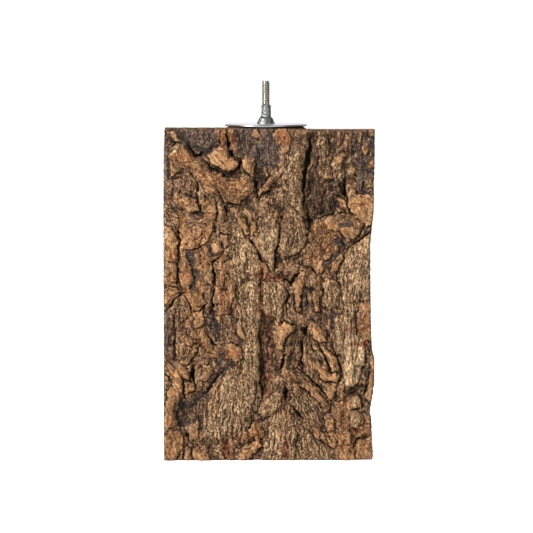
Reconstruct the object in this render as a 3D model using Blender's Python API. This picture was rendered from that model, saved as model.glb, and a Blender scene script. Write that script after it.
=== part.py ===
"""Cork bark slab, sawn to a rectangle, with a threaded stud welded to a washer disc on its top edge.

Units are metres and +Z is up. The slab stands on its lower saw cut, with the rough bark face
towards -Y. The origin is the middle of the base of the whole object's box.
"""

import math

import bmesh
import bpy
import numpy as np

MM = 0.001

# The slab, between its saw cuts.
SLAB_WIDTH = 0.158
SLAB_HEIGHT = 0.250
SLAB_DEPTH = 0.070
BELLY_SWELL = 0.8 * MM
SAW_CUT_REACH = 0.4 * MM

# Heights and widths of the bark's relief, in mm.
BARK_PEAK = 6.0
FISSURE_FLOOR = -13.0
ZONE_FEATHER = 3.0
PLATE_EDGE = 1.6
BROAD_WAVE = 0.9
NARROW_WAVE = 0.5
WANDER = 1.0
FRAY = 0.5
TOP_SWELL = 2.4
RIB_HEIGHT = 0.6
CRUMB_HEIGHT = 1.5

# Size in mm of one cell of each kind of noise. Rib noise is drawn out upright.
BROAD_CELL = 38.0
NARROW_CELL = 15.0
WANDER_CELL = 9.0
FRAY_CELL = 3.6
RAGGED_CELL = 7.0
CRUMB_CELL = 6.0
RIB_CELL = 2.6
RIB_STRETCH = 8.0
BELLY_CELL = 22.0
BELLY_STRETCH = 4.0

# How far the two side edges lie inside the full width: height from the base, then inset, in mm.
LEFT_EDGE = [(0, 0.6), (22, 0.2), (45, 0.0), (70, 0.1), (95, 0.6), (235, 0.6), (250, 0.9)]
RIGHT_EDGE = [
    (0, 2.2), (5, 1.2), (11, 2.0), (32, 2.0), (38, 3.4), (46, 2.6), (55, 1.0), (60, 0.0), (77, 0.0),
    (81, 2.0), (92, 2.2), (98, 3.4), (165, 3.4), (178, 2.0), (186, 1.2), (214, 1.2), (219, 0.2), (250, 0.2)]

# Grid of the bark face and of the smoother inner face, and the share of its faces that is kept.
FACE_COLUMNS = 126
FACE_ROWS = 200
BELLY_COLUMNS = 28
BELLY_ROWS = 44
KEPT_SHARE = 0.205

# The fitting. Its axis stands a little left of the slab's middle. The stud is an M6.
STUD_X = -2.4 * MM
STUD_DIAMETER = 6.0 * MM
STUD_PITCH = 1.0 * MM
STUD_THREAD_DEPTH = 0.55 * MM
STUD_TOP = SLAB_HEIGHT + 35.0 * MM
STUD_CHAMFER = 0.6 * MM
SCREW_DIAMETER = 6.2 * MM
SCREW_PITCH = 2.5 * MM
SCREW_THREAD_DEPTH = 0.8 * MM
SCREW_LENGTH = 42.0 * MM
SCREW_POINT = 7.0 * MM
SCREW_NECK = 4.0 * MM
THREAD_RUN_OUT = 0.5 * MM
HOLE_CLEARANCE = 0.6 * MM
HOLE_OVERSHOOT = 1.0 * MM
DISC_DIAMETER = 62.0 * MM
DISC_THICKNESS = 1.5 * MM
DISC_BEVEL = 0.3 * MM
DISC_SEAT_RADIUS = 9.0 * MM
DISC_SEAT_DROP = 0.1 * MM
WELD_BASE_RADIUS = 6.8 * MM
WELD_SHOULDER_RADIUS = 5.2 * MM
WELD_SHOULDER_HEIGHT = 5.0 * MM
WELD_COLLAR_RADIUS = 3.8 * MM
WELD_HEIGHT = 14.0 * MM
WELD_LIP = 0.2 * MM
WELD_ROUGHNESS = 0.025
GAP = 0.3 * MM

THREAD_SIDES = 12
HOLE_SIDES = 24
DISC_SIDES = 64
WELD_SIDES = 24

# The bark's relief. Points are millimetres on the face: across from the middle, up from the base.
# Each zone is a broad step of the surface: name, height in mm, outline.
ZONES = [
    ("weathered hollow, top left", -3.5, [
        (-66, 252), (-41, 252), (-41, 241), (-36, 237), (-44, 231), (-52, 228), (-60, 236), (-68, 241)]),
    ("weathered pan, top middle", -1.5, [
        (-28, 252), (6, 252), (4, 243), (8, 231), (3, 219), (-7, 220), (-11, 228), (-22, 231), (-25, 241)]),
    ("weathered pan, top right", -2.0, [
        (48, 252), (81, 252), (81, 198), (70, 199), (62, 206), (58, 218), (52, 233)]),
    ("dark field below the groove", -3.5, [
        (27, 212), (57, 211), (55, 195), (48, 187), (36, 183), (29, 176)]),
    ("crumbled field, upper left", -1.5, [
        (-68, 221), (-57, 219), (-54, 208), (-55, 198), (-63, 199), (-70, 205)]),
    ("grey field left of the shield", -1.0, [
        (-26, 196), (-12, 198), (-12, 182), (-17, 170), (-27, 160), (-31, 176)]),
    ("brown channel, lower middle", -4.0, [
        (-6, 112), (4, 106), (3, 95), (5, 84), (9, 76), (9, 67), (2, 60), (-4, 50), (-7, 64), (-7, 84)]),
    ("rusty cross channel", -3.0, [
        (-8, 142), (3, 142), (21, 140), (16, 134), (4, 135), (-7, 133)]),
    ("hollow under the tongue", -3.0, [
        (4, 153), (22, 155), (24, 148), (14, 149), (4, 144)]),
    ("charred bend, lower left", -2.5, [
        (-65, 47), (-49, 57), (-46, 49), (-52, 42), (-59, 38), (-60, 29), (-66, 26), (-70, 35)]),
    ("dark field below the roof", -3.0, [
        (15, 92), (27, 100), (36, 90), (37, 82), (26, 66), (16, 72)]),
    ("right hand hollow, upper slope", -2.5, [
        (57, 76), (64, 66), (73, 78), (76, 66), (71, 46), (60, 50), (55, 60)]),
    ("right hand hollow, floor", -5.0, [
        (61, 62), (66, 58), (73, 64), (73, 55), (70, 47), (61, 51)]),
    ("grey strip, lower right", -1.5, [
        (16, 46), (30, 50), (36, 38), (30, 24), (44, 14), (50, 4), (28, 2), (22, 26)]),
]

# Each plate is a slab of younger cork that stands proud: name, height in mm, outline.
PLATES = [
    ("top left sliver", 2.0, [(-75, 247), (-71, 247), (-65, 240), (-70, 240)]),
    ("left edge, top", 1.0, [(-81, 252), (-75, 252), (-75, 238), (-81, 236)]),
    ("upper ridge", 3.5, [
        (-75, 233), (-70, 236), (-65, 236), (-60, 232), (-52, 226), (-51, 221), (-56, 219),
        (-60, 222), (-64, 222), (-67, 217), (-73, 214)]),
    ("upper ridge, middle", 3.5, [
        (-52, 222), (-46, 220), (-37, 215), (-32, 213), (-34, 209), (-40, 211), (-50, 216)]),
    ("upper ridge, lower", 2.5, [
        (-54, 216), (-50, 215), (-43, 207), (-38, 208), (-36, 200), (-39, 195), (-45, 201), (-52, 210)]),
    ("broad plate", 3.0, [
        (-34, 213), (-17, 212), (-12, 209), (-13, 203), (-19, 200), (-23, 193), (-33, 195), (-36, 204)]),
    ("bright wedge", 4.0, [
        (-46, 229), (-40, 235), (-37, 237), (-32, 237), (-29, 228), (-22, 223), (-23, 220), (-32, 219),
        (-40, 223)]),
    ("bright knob", 4.0, [(-20, 226), (-16, 229), (-12, 227), (-10, 222), (-12, 215), (-17, 218)]),
    ("red wedge", 2.0, [(4, 245), (7, 250), (13, 250), (16, 242), (13, 232), (9, 230), (6, 237)]),
    ("left plate", 3.0, [
        (-71, 203), (-67, 200), (-57, 197), (-54, 192), (-52, 188), (-60, 187), (-68, 192)]),
    ("rounded plate", 2.5, [(-50, 192), (-46, 197), (-41, 196), (-40, 188), (-44, 184), (-49, 187)]),
    ("left field", 1.0, [
        (-77, 187), (-68, 186), (-50, 183), (-41, 186), (-41, 173), (-50, 162), (-60, 159),
        (-67, 158), (-66, 176)]),
    ("pale left edge", 2.0, [(-80, 178), (-74, 177), (-69, 168), (-69, 152), (-73, 149), (-80, 152)]),
    ("upright strip", 1.5, [(-66, 157), (-62, 156), (-60, 146), (-57, 134), (-60, 129), (-66, 130)]),
    ("left of the split", 2.0, [(-43, 171), (-37, 166), (-34, 157), (-37, 154), (-43, 156)]),
    ("under the split", 2.5, [(-35, 134), (-30, 137), (-25, 133), (-25, 125), (-29, 123), (-34, 127)]),
    ("below the split", 2.0, [(-38, 126), (-27, 124), (-26, 118), (-29, 111), (-37, 111)]),
    ("left wing", 2.5, [(-81, 128), (-74, 130), (-67, 129), (-72, 121), (-78, 113), (-81, 113)]),
    ("middle left plate", 2.0, [(-62, 128), (-57, 130), (-47, 120), (-54, 112), (-58, 116)]),
    ("small upright plate", 2.0, [(-55, 111), (-51, 113), (-49, 106), (-50, 101), (-56, 101)]),
    ("slanting slat", 3.0, [(-55, 87), (-51, 88), (-56, 81), (-62, 73), (-66, 74), (-61, 79)]),
    ("curved strip", 2.5, [(-52, 100), (-48, 99), (-46, 93), (-41, 86), (-45, 82), (-50, 89), (-54, 94)]),
    ("red plate", 2.5, [(-34, 87), (-28, 88), (-21, 84), (-20, 78), (-25, 74), (-33, 78)]),
    ("left diagonal", 2.5, [(-81, 78), (-73, 72), (-67, 64), (-65, 52), (-70, 56), (-74, 64), (-81, 67)]),
    ("small wedge", 2.0, [(-71, 70), (-66, 72), (-60, 66), (-60, 61), (-66, 63)]),
    ("brown hump", 2.5, [(-54, 66), (-50, 72), (-44, 72), (-42, 67), (-48, 60), (-55, 61)]),
    ("long left ridge", 3.5, [
        (-73, 59), (-66, 56), (-67, 46), (-70, 36), (-70, 27), (-76, 25), (-79, 30), (-77, 43)]),
    ("corner field", 2.0, [(-81, 21), (-70, 22), (-64, 18), (-66, 10), (-72, -2), (-81, -2)]),
    ("low brown plate", 1.5, [(-59, 29), (-53, 30), (-53, 17), (-60, 16), (-62, 22)]),
    ("base plate", 1.5, [(-56, 11), (-50, 12), (-46, 6), (-45, -2), (-56, -2)]),
    ("shield", 2.5, [
        (-7, 182), (3, 184), (7, 177), (6, 157), (3, 142), (-1, 148), (-9, 160), (-11, 166)]),
    ("tongue", 2.5, [
        (13, 191), (17, 190), (23, 184), (29, 174), (26, 160), (20, 156), (9, 152), (7, 160), (9, 174)]),
    ("ribbed column, left", 2.0, [
        (-22, 130), (-15, 136), (-7, 136), (-7, 112), (-8, 84), (-8, 64), (-11, 50), (-15, 30),
        (-26, 34), (-20, 66), (-16, 92)]),
    ("ribbed column, middle", 1.0, [(-4, 135), (10, 134), (13, 126), (8, 106), (-3, 110)]),
    ("ribbed column, right", 1.5, [(10, 220), (16, 234), (25, 234), (25, 192), (17, 192), (10, 205)]),
    ("striped band", 1.0, [(33, 248), (41, 248), (46, 238), (46, 214), (34, 214)]),
    ("ribbed block, lower left", 1.0, [
        (-49, 38), (-38, 56), (-27, 70), (-20, 62), (-17, 22), (-48, 18)]),
    ("ribbed column, base", 1.0, [(1, 36), (18, 34), (18, 4), (1, 6)]),
    ("amber plate", 4.0, [
        (4, 94), (8, 101), (13, 105), (20, 99), (15, 92), (11, 85), (7, 89)]),
    ("roof plate", 4.0, [(29, 99), (30, 105), (36, 103), (42, 99), (43, 90), (38, 88), (32, 95)]),
    ("roof strip", 3.5, [(38, 87), (43, 84), (51, 76), (52, 68), (48, 67), (44, 76), (38, 83)]),
    ("roof strip, lower", 2.5, [(31, 79), (36, 76), (42, 69), (53, 64), (51, 58), (42, 60), (34, 70)]),
    ("long ridge", 4.0, [
        (16, 68), (22, 63), (31, 59), (37, 55), (44, 47), (46, 40), (41, 38), (37, 46), (28, 54),
        (19, 61)]),
    ("right crown", 3.5, [
        (60, 206), (66, 201), (73, 199), (81, 198), (81, 182), (73, 176), (64, 184), (60, 191)]),
    ("crown strip", 2.5, [(50, 199), (54, 197), (60, 188), (59, 185), (53, 192)]),
    ("orange field", 3.0, [
        (41, 182), (50, 185), (60, 185), (67, 182), (70, 176), (64, 168), (58, 166), (53, 173), (43, 175)]),
    ("pale right column", 2.0, [
        (57, 159), (66, 164), (75, 170), (81, 160), (81, 128), (70, 120), (64, 130), (52, 141)]),
    ("ring plate", 2.5, [
        (18, 136), (22, 140), (31, 144), (37, 140), (34, 130), (28, 129), (23, 132), (19, 130)]),
    ("grey right field", 1.0, [(39, 118), (38, 132), (47, 136), (53, 130), (53, 116), (45, 114)]),
    ("right wing", 1.5, [(68, 117), (76, 119), (81, 112), (81, 92), (71, 91), (67, 100)]),
    ("bright slope", 1.5, [(58, 96), (66, 97), (69, 88), (66, 74), (59, 76), (57, 86)]),
    ("sawn rim, right", 2.0, [(74, 79), (81, 79), (81, 50), (76, 43), (73, 47), (74, 60), (78, 68)]),
    ("rounded knob", 3.5, [(60, 46), (65, 49), (69, 47), (68, 42), (60, 38)]),
    ("small block", 1.5, [(43, 34), (48, 33), (49, 23), (44, 22)]),
    ("small block, low", 2.0, [(44, 21), (49, 22), (52, 15), (50, 11), (46, 14)]),
    ("low diagonal", 2.5, [(26, 28), (31, 27), (40, 20), (50, 12), (46, 10), (37, 17), (28, 24)]),
    ("grey block, right", 1.5, [(60, 36), (69, 39), (71, 29), (66, 24), (61, 27)]),
    ("shell plate", 3.0, [(65, 10), (69, 15), (77, 18), (81, 12), (81, -2), (67, -2)]),
    ("base plate, right", 1.5, [(53, 11), (63, 11), (66, -2), (54, -2)]),
    ("inner slope", 2.0, [(-8, 36), (0, 41), (7, 47), (9, 42), (-4, 31)]),
    ("base plate, middle", 2.5, [(-24, 4), (-19, 12), (-7, 15), (-6, 11), (-13, 3), (-22, -2)]),
]

# Each fissure is a crack or groove: name, width in mm, depth in mm, points along it.
FISSURES = [
    ("pocket, top left", 4.0, 4.0, [(-74, 234), (-70, 239), (-66, 240)]),
    ("undercut of the upper ridge", 6.0, 5.0, [(-60, 236), (-54, 230), (-47, 231)]),
    ("red crack", 4.0, 5.0, [(-31, 251), (-31, 242), (-29, 233), (-26, 226)]),
    ("hook round the wedge", 5.0, 6.0, [(-22, 232), (-21, 225), (-24, 218), (-32, 215)]),
    ("undercut of the broad plate", 3.0, 3.0, [(-52, 226), (-43, 220), (-33, 215), (-22, 211)]),
    ("split under the knob", 6.0, 6.0, [(-12, 216), (-10, 207), (-10, 200)]),
    ("notch in the plate", 3.5, 3.0, [(-38, 210), (-36, 204), (-37, 199)]),
    ("upright crack, upper left", 4.5, 5.0, [(-55, 214), (-53, 206), (-54, 197), (-52, 189)]),
    ("crack at the left", 3.5, 3.0, [(-74, 212), (-68, 211), (-65, 213)]),
    ("dent at the left", 5.0, 2.5, [(-73, 191), (-66, 189)]),
    ("crack below the plates", 3.5, 4.0, [(-34, 194), (-31, 188), (-32, 182)]),
    ("left seam, upper", 3.5, 3.5, [(-66, 181), (-67, 172), (-68, 160)]),
    ("left seam, lower", 3.5, 3.5, [(-68, 158), (-69, 146), (-67, 135), (-66, 127)]),
    ("crack through the field", 3.5, 3.0, [(-50, 169), (-52, 160), (-50, 150)]),
    ("charred spot, upper", 6.0, 2.0, [(-59, 156), (-58, 148)]),
    ("charred spot, lower", 5.0, 2.0, [(-55, 142), (-57, 133)]),
    ("charred spot, right", 4.0, 2.5, [(-45, 161), (-42, 153)]),
    ("main split, upper", 4.5, 6.0, [(-35, 155), (-41, 150), (-39, 141), (-40, 134)]),
    ("main split, lower", 4.5, 7.0, [(-41, 131), (-42, 119), (-42, 107)]),
    ("pocket beside the split", 6.0, 4.0, [(-37, 131), (-37, 127)]),
    ("left diagonal crack", 3.5, 3.0, [(-60, 129), (-68, 125), (-74, 116), (-80, 112)]),
    ("inner diagonal crack", 3.0, 2.5, [(-64, 126), (-58, 115), (-56, 102)]),
    ("short diagonal crack", 3.0, 2.5, [(-55, 112), (-46, 119)]),
    ("long left crack", 4.0, 4.0, [(-72, 112), (-70, 97), (-71, 86), (-70, 77)]),
    ("hollow under the long crack", 6.0, 3.0, [(-73, 77), (-67, 75)]),
    ("crack beside the wedge", 3.5, 3.0, [(-69, 68), (-65, 60), (-63, 48), (-62, 42)]),
    ("dark slot", 5.5, 6.0, [(-58, 77), (-58, 67), (-55, 56)]),
    ("charred hollow", 6.0, 3.0, [(-45, 95), (-42, 89), (-36, 86)]),
    ("crumbled dark patch", 7.0, 2.5, [(-43, 80), (-37, 75)]),
    ("shade line of the diagonal", 6.0, 3.0, [(-48, 47), (-45, 57), (-38, 67)]),
    ("crack below the bend", 3.5, 3.5, [(-65, 26), (-61, 18), (-60, 9)]),
    ("hole near the base", 5.0, 4.5, [(-64, 9), (-64, 3)]),
    ("crack near the base", 3.5, 3.0, [(-58, -1), (-57, 9), (-52, 12)]),
    ("rusty hole", 5.0, 5.5, [(-31, 14), (-30, 3)]),
    ("left side of the shield", 4.0, 5.0, [(-16, 172), (-10, 159), (-5, 150), (0, 144)]),
    ("centre fissure, upper", 3.5, 3.5, [(-5, 150), (-6, 136), (-6, 122), (-8, 112)]),
    ("centre fissure, middle", 4.0, 4.0, [(-7, 110), (-6, 96), (-7, 84), (-5, 77)]),
    ("centre fissure, lower", 5.0, 6.0, [(-6, 76), (-6, 62), (-5, 52), (-8, 39)]),
    ("foot of the centre fissure", 3.5, 4.0, [(-9, 37), (-5, 31)]),
    ("crack left of the foot", 3.5, 3.5, [(-11, 33), (-14, 29), (-16, 21)]),
    ("cleft beside the tongue", 6.0, 6.0, [(12, 191), (9, 181)]),
    ("right side of the shield", 4.0, 4.5, [(8, 180), (7, 166), (5, 152), (4, 143)]),
    ("long groove", 8.0, 9.0, [(31, 242), (28, 226), (26, 206), (26, 190)]),
    ("foot of the long groove", 9.0, 7.0, [(27, 186), (31, 174)]),
    ("crack at the top right", 3.5, 2.5, [(42, 249), (45, 240), (45, 230)]),
    ("gash beside the crown", 6.0, 6.0, [(57, 214), (56, 204), (59, 193)]),
    ("dark furrow in the pan", 6.0, 3.0, [(70, 213), (70, 203)]),
    ("edge of the orange field", 4.0, 3.0, [(33, 180), (43, 184), (50, 187), (60, 185)]),
    ("dark patch of the field", 7.0, 2.5, [(53, 166), (57, 162)]),
    ("long right crack", 3.5, 4.0, [(77, 173), (70, 167), (59, 161), (54, 148), (49, 138)]),
    ("foot of the right crack", 5.0, 4.0, [(49, 138), (54, 132)]),
    ("crack over the ring", 4.0, 4.0, [(23, 147), (30, 146), (37, 140)]),
    ("dark hook of the ring", 5.0, 4.5, [(10, 137), (17, 133), (19, 138), (24, 141)]),
    ("shade beside the ring", 6.0, 3.0, [(15, 131), (14, 120), (13, 109)]),
    ("crack below the ring", 3.0, 2.5, [(39, 136), (37, 127), (37, 117)]),
    ("charred slot", 5.0, 3.0, [(27, 128), (27, 117)]),
    ("cross crack", 3.0, 2.0, [(20, 120), (37, 120)]),
    ("apex of the roof", 9.0, 8.0, [(28, 101), (26, 95)]),
    ("upright crack of the roof", 4.0, 4.0, [(25, 95), (24, 84), (26, 70)]),
    ("left rafter", 3.5, 3.5, [(24, 101), (15, 93), (10, 84)]),
    ("right rafter", 5.0, 4.0, [(30, 97), (37, 89), (42, 76), (48, 66)]),
    ("crack left of the roof", 5.0, 5.5, [(12, 82), (10, 73), (10, 66)]),
    ("crack over the long ridge", 4.0, 5.0, [(25, 69), (31, 61), (41, 53), (46, 45)]),
    ("crack under the long ridge", 4.0, 3.0, [(14, 64), (26, 54), (34, 46)]),
    ("black cleft", 5.5, 7.0, [(12, 57), (12, 50), (14, 42)]),
    ("shade below the cleft", 6.0, 3.0, [(15, 42), (21, 37), (28, 28)]),
    ("crack under the low diagonal", 3.5, 3.0, [(34, 20), (44, 14), (52, 8)]),
    ("right crack beside the slope", 4.0, 4.5, [(46, 96), (49, 84), (53, 74), (54, 64)]),
    ("dark corner", 6.0, 3.0, [(46, 111), (47, 102)]),
    ("right edge crack", 3.5, 3.5, [(70, 121), (66, 111), (66, 98), (70, 88), (66, 72)]),
    ("undercut of the sawn rim", 5.0, 4.0, [(74, 76), (75, 65), (71, 56), (70, 46)]),
    ("block crack", 3.0, 2.5, [(46, 22), (57, 24)]),
    ("block crack, upper", 3.5, 2.5, [(45, 38), (47, 44), (51, 45)]),
    ("black crescent", 5.5, 6.0, [(71, 18), (67, 16), (64, 11)]),
    ("base crack, right", 3.0, 2.0, [(56, 12), (62, 12)]),
]

# Where the bark shows its upright growth ribs rather than crumbled cork: name, outline.
RIBBED = [
    ("long column", [
        (-30, 155), (-26, 140), (-24, 120), (-23, 106), (-16, 93), (-22, 88), (-20, 80), (-28, 70),
        (-38, 56), (-50, 38), (-48, 18), (-16, 20), (-12, 33), (-8, 45), (-6, 62), (-6, 80), (-7, 110),
        (-6, 136), (-5, 151), (-10, 160), (-16, 172), (-12, 184), (-22, 190), (-30, 170)]),
    ("shield", [(-7, 182), (3, 184), (7, 177), (6, 157), (3, 142), (-1, 148), (-9, 160), (-11, 166)]),
    ("tongue", [
        (13, 191), (17, 190), (23, 184), (29, 174), (26, 160), (20, 156), (9, 152), (7, 160), (9, 174)]),
    ("middle column", [
        (-5, 134), (3, 135), (10, 134), (14, 128), (12, 118), (9, 108), (6, 103), (2, 104), (-4, 107)]),
    ("left of the long groove", [
        (14, 234), (24, 236), (25, 225), (24, 205), (25, 192), (18, 188), (12, 192), (8, 200), (6, 212),
        (9, 220)]),
    ("right of the long groove", [
        (31, 232), (32, 248), (41, 248), (46, 236), (46, 215), (44, 212), (35, 212), (31, 215)]),
    ("right column", [
        (57, 160), (66, 164), (74, 170), (76, 160), (75, 128), (70, 118), (66, 112), (60, 100),
        (62, 70), (60, 52), (54, 60), (56, 86), (50, 104), (52, 112), (38, 124), (40, 135), (51, 141)]),
    ("low column", [
        (0, 35), (10, 37), (18, 32), (20, 28), (18, 14), (19, 3), (0, 0), (-5, 4), (-4, 12), (0, 20)]),
]

NOISE_CELLS = 64


def clear_scene():
    for obj in list(bpy.data.objects):
        bpy.data.objects.remove(obj)


def material(name, colour, roughness, metallic=0.0):
    made = bpy.data.materials.new(name)
    made.use_nodes = True
    shader = made.node_tree.nodes["Principled BSDF"]
    shader.inputs["Base Color"].default_value = (*colour, 1.0)
    shader.inputs["Roughness"].default_value = roughness
    shader.inputs["Metallic"].default_value = metallic
    made.diffuse_color = (*colour, 1.0)
    return made


def add_object(name, mesh, finish):
    obj = bpy.data.objects.new(name, mesh)
    bpy.context.scene.collection.objects.link(obj)
    mesh.materials.append(finish)
    return obj


def smoothstep(low, high, value):
    t = np.clip((value - low) / (high - low), 0.0, 1.0)
    return t * t * (3.0 - 2.0 * t)


def face_noise(across, up, cell, seed):
    """Smooth noise from -1 to 1 over the face, with one random value each cell of this many mm."""
    table = np.random.default_rng(seed).uniform(-1.0, 1.0, (NOISE_CELLS, NOISE_CELLS))
    column = np.floor(across / cell).astype(int)
    row = np.floor(up / cell).astype(int)
    s = smoothstep(0.0, 1.0, across / cell - column)
    t = smoothstep(0.0, 1.0, up / cell - row)
    near = table[row % NOISE_CELLS, column % NOISE_CELLS] * (1.0 - s)
    near += table[row % NOISE_CELLS, (column + 1) % NOISE_CELLS] * s
    far = table[(row + 1) % NOISE_CELLS, column % NOISE_CELLS] * (1.0 - s)
    far += table[(row + 1) % NOISE_CELLS, (column + 1) % NOISE_CELLS] * s
    return near * (1.0 - t) + far * t


def distance_to_line(across, up, points, end_taper=0.0):
    """Distance in mm from each place on the face to a line through these points.

    A taper adds to the distance near the line's two ends, so that what follows it runs out there.
    """
    nearest = np.full(across.shape, np.inf)
    last = len(points) - 2
    for index, ((u0, v0), (u1, v1)) in enumerate(zip(points, points[1:])):
        du = u1 - u0
        dv = v1 - v0
        along = ((across - u0) * du + (up - v0) * dv) / (du * du + dv * dv)
        along = np.clip(along, 0.0, 1.0)
        distance = np.hypot(across - u0 - along * du, up - v0 - along * dv)
        if index == 0:
            distance = distance + end_taper * (1.0 - along) ** 2
        if index == last:
            distance = distance + end_taper * along ** 2
        nearest = np.minimum(nearest, distance)
    return nearest


def depth_inside(across, up, outline):
    """Distance in mm from each place to this outline: positive inside it, negative outside."""
    closed = outline + outline[:1]
    inside = np.zeros(across.shape, bool)
    for (u0, v0), (u1, v1) in zip(closed, closed[1:]):
        if v0 == v1:
            continue
        crosses = (up < max(v0, v1)) & (up >= min(v0, v1))
        crosses &= across < u0 + (up - v0) * (u1 - u0) / (v1 - v0)
        inside ^= crosses
    nearest = distance_to_line(across, up, closed)
    return np.where(inside, nearest, -nearest)


def bark_relief(across, up):
    """Height in mm of the bark face above its mean plane, at places given in mm on the face."""
    wandered_across = across + WANDER * face_noise(across, up, WANDER_CELL, seed=11)
    wandered_up = up + WANDER * face_noise(across, up, WANDER_CELL, seed=12)
    wandered_across += FRAY * face_noise(across, up, FRAY_CELL, seed=13)
    wandered_up += FRAY * face_noise(across, up, FRAY_CELL, seed=14)
    place = (wandered_across, wandered_up)

    height = BROAD_WAVE * face_noise(across, up, BROAD_CELL, seed=21)
    height += NARROW_WAVE * face_noise(across, up, NARROW_CELL, seed=22)
    height += TOP_SWELL * smoothstep(215.0, 248.0, up) * (1.0 - smoothstep(30.0, 62.0, np.abs(across)))
    for _, step, outline in ZONES:
        height += step * smoothstep(-ZONE_FEATHER, ZONE_FEATHER, depth_inside(*place, outline))
    height += plate_relief(*place)
    height -= fissure_relief(*place, ragged=face_noise(across, up, RAGGED_CELL, seed=15))

    ribbed = ribbed_share(*place)
    rib = face_noise(wandered_across, up / RIB_STRETCH, RIB_CELL, seed=33)
    crumb = np.abs(face_noise(across, up, CRUMB_CELL, seed=31))
    crumb += 0.5 * np.abs(face_noise(across, up, CRUMB_CELL / 2.0, seed=32))
    height += ribbed * RIB_HEIGHT * rib + (1.0 - ribbed) * CRUMB_HEIGHT * (0.6 - crumb)
    worn = BARK_PEAK * np.tanh(np.maximum(height, 0.0) / BARK_PEAK)
    return np.where(height > 0.0, worn, np.maximum(height, FISSURE_FLOOR))


def plate_relief(across, up):
    proud = np.zeros(across.shape)
    for _, step, outline in PLATES:
        inside = depth_inside(across, up, outline)
        proud = np.maximum(proud, step * smoothstep(-0.4 * PLATE_EDGE, PLATE_EDGE, inside))
    return proud


def fissure_relief(across, up, ragged):
    """Depth of the fissures, which run out at their ends and vary in width with the ragged noise."""
    cut = np.zeros(across.shape)
    for _, width, depth, points in FISSURES:
        reach = distance_to_line(across, up, points, end_taper=0.3 * width)
        reach = reach / (0.6 * width * (1.0 + 0.5 * ragged))
        cut = np.maximum(cut, depth * (1.0 - smoothstep(0.0, 1.0, reach)))
    return cut


def ribbed_share(across, up):
    """1 where the bark is ribbed, 0 where it is crumbled."""
    ribbed = np.zeros(across.shape)
    for _, outline in RIBBED:
        ribbed = np.maximum(ribbed, smoothstep(-1.5, 1.5, depth_inside(across, up, outline)))
    return ribbed


def edge_inset(height, run):
    """How far a side edge lies inside the slab's full width, in metres, at heights in metres."""
    heights = [place for place, _ in run]
    insets = [inset for _, inset in run]
    return np.interp(height / MM, heights, insets) * MM


def slab_grid(columns, rows):
    """Grid of places over the rough face: x and z in metres, with the worn edges taken in."""
    s, z = np.meshgrid(np.linspace(0.0, 1.0, columns + 1), np.linspace(0.0, SLAB_HEIGHT, rows + 1))
    left = edge_inset(z, LEFT_EDGE) - SLAB_WIDTH / 2.0
    right = SLAB_WIDTH / 2.0 - edge_inset(z, RIGHT_EDGE)
    return left + (right - left) * s, z


def grid_rim(columns, rows):
    """The grid's rim as four runs of (row, column), counter-clockwise seen from the front."""
    return [
        [(0, c) for c in range(columns + 1)],
        [(r, columns) for r in range(rows + 1)],
        [(rows, c) for c in range(columns, -1, -1)],
        [(r, 0) for r in range(rows, -1, -1)],
    ]


def add_grid(bm, x, y, z):
    rows, columns = x.shape
    verts = []
    for r in range(rows):
        verts.append([bm.verts.new((x[r, c], y[r, c], z[r, c])) for c in range(columns)])
    return verts


def add_face_triangles(bm, verts, outwards_front):
    """Two triangles for each cell, split along the diagonal whose ends differ less in depth."""
    for r in range(len(verts) - 1):
        for c in range(len(verts[0]) - 1):
            a = verts[r][c]
            b = verts[r][c + 1]
            d = verts[r + 1][c + 1]
            e = verts[r + 1][c]
            if abs(a.co.y - d.co.y) <= abs(b.co.y - e.co.y):
                pair = [(a, b, d), (a, d, e)]
            else:
                pair = [(a, b, e), (b, d, e)]
            for triangle in pair:
                bm.faces.new(triangle if outwards_front else triangle[::-1])


def zip_runs(bm, front, back):
    """Closes the strip between two runs of vertices that start and end at the same corners."""
    i = 0
    j = 0
    while i < len(front) - 1 or j < len(back) - 1:
        next_front = (i + 1) / (len(front) - 1)
        next_back = (j + 1) / (len(back) - 1)
        if j == len(back) - 1 or (i < len(front) - 1 and next_front <= next_back):
            bm.faces.new((front[i + 1], front[i], back[j]))
            i += 1
        else:
            bm.faces.new((front[i], back[j], back[j + 1]))
            j += 1


def belly_swell(across, up):
    """Height of the inner face above its lowest place: long upright waves, as it grew."""
    wave = face_noise(across, up / BELLY_STRETCH, BELLY_CELL, seed=41)
    return BELLY_SWELL * (0.5 + 0.5 * wave)


def build_slab(finish):
    bm = bmesh.new()
    x, z = slab_grid(FACE_COLUMNS, FACE_ROWS)
    relief = bark_relief(x / MM, z / MM) * MM
    front = add_grid(bm, x, relief.max() - SLAB_DEPTH / 2.0 - relief, z)
    add_face_triangles(bm, front, outwards_front=True)

    x, z = slab_grid(BELLY_COLUMNS, BELLY_ROWS)
    swell = belly_swell(x / MM, z / MM)
    back = add_grid(bm, x, SLAB_DEPTH / 2.0 + swell - swell.max(), z)
    add_face_triangles(bm, back, outwards_front=False)

    rims = zip(grid_rim(FACE_COLUMNS, FACE_ROWS), grid_rim(BELLY_COLUMNS, BELLY_ROWS))
    for front_run, back_run in rims:
        zip_runs(bm, [front[r][c] for r, c in front_run], [back[r][c] for r, c in back_run])

    mesh = bpy.data.meshes.new("cork_bark_slab")
    bm.to_mesh(mesh)
    bm.free()
    slab = add_object("cork_bark_slab", mesh, finish)
    thin_faces(slab)
    square_saw_cuts(slab)
    drill_hole(slab)
    return slab


def thin_faces(slab):
    """Keeps faces where the bark bends and drops them where it is even."""
    thin = slab.modifiers.new("fewer faces", "DECIMATE")
    thin.ratio = KEPT_SHARE
    bpy.context.view_layer.objects.active = slab
    bpy.ops.object.modifier_apply(modifier=thin.name)


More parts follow.
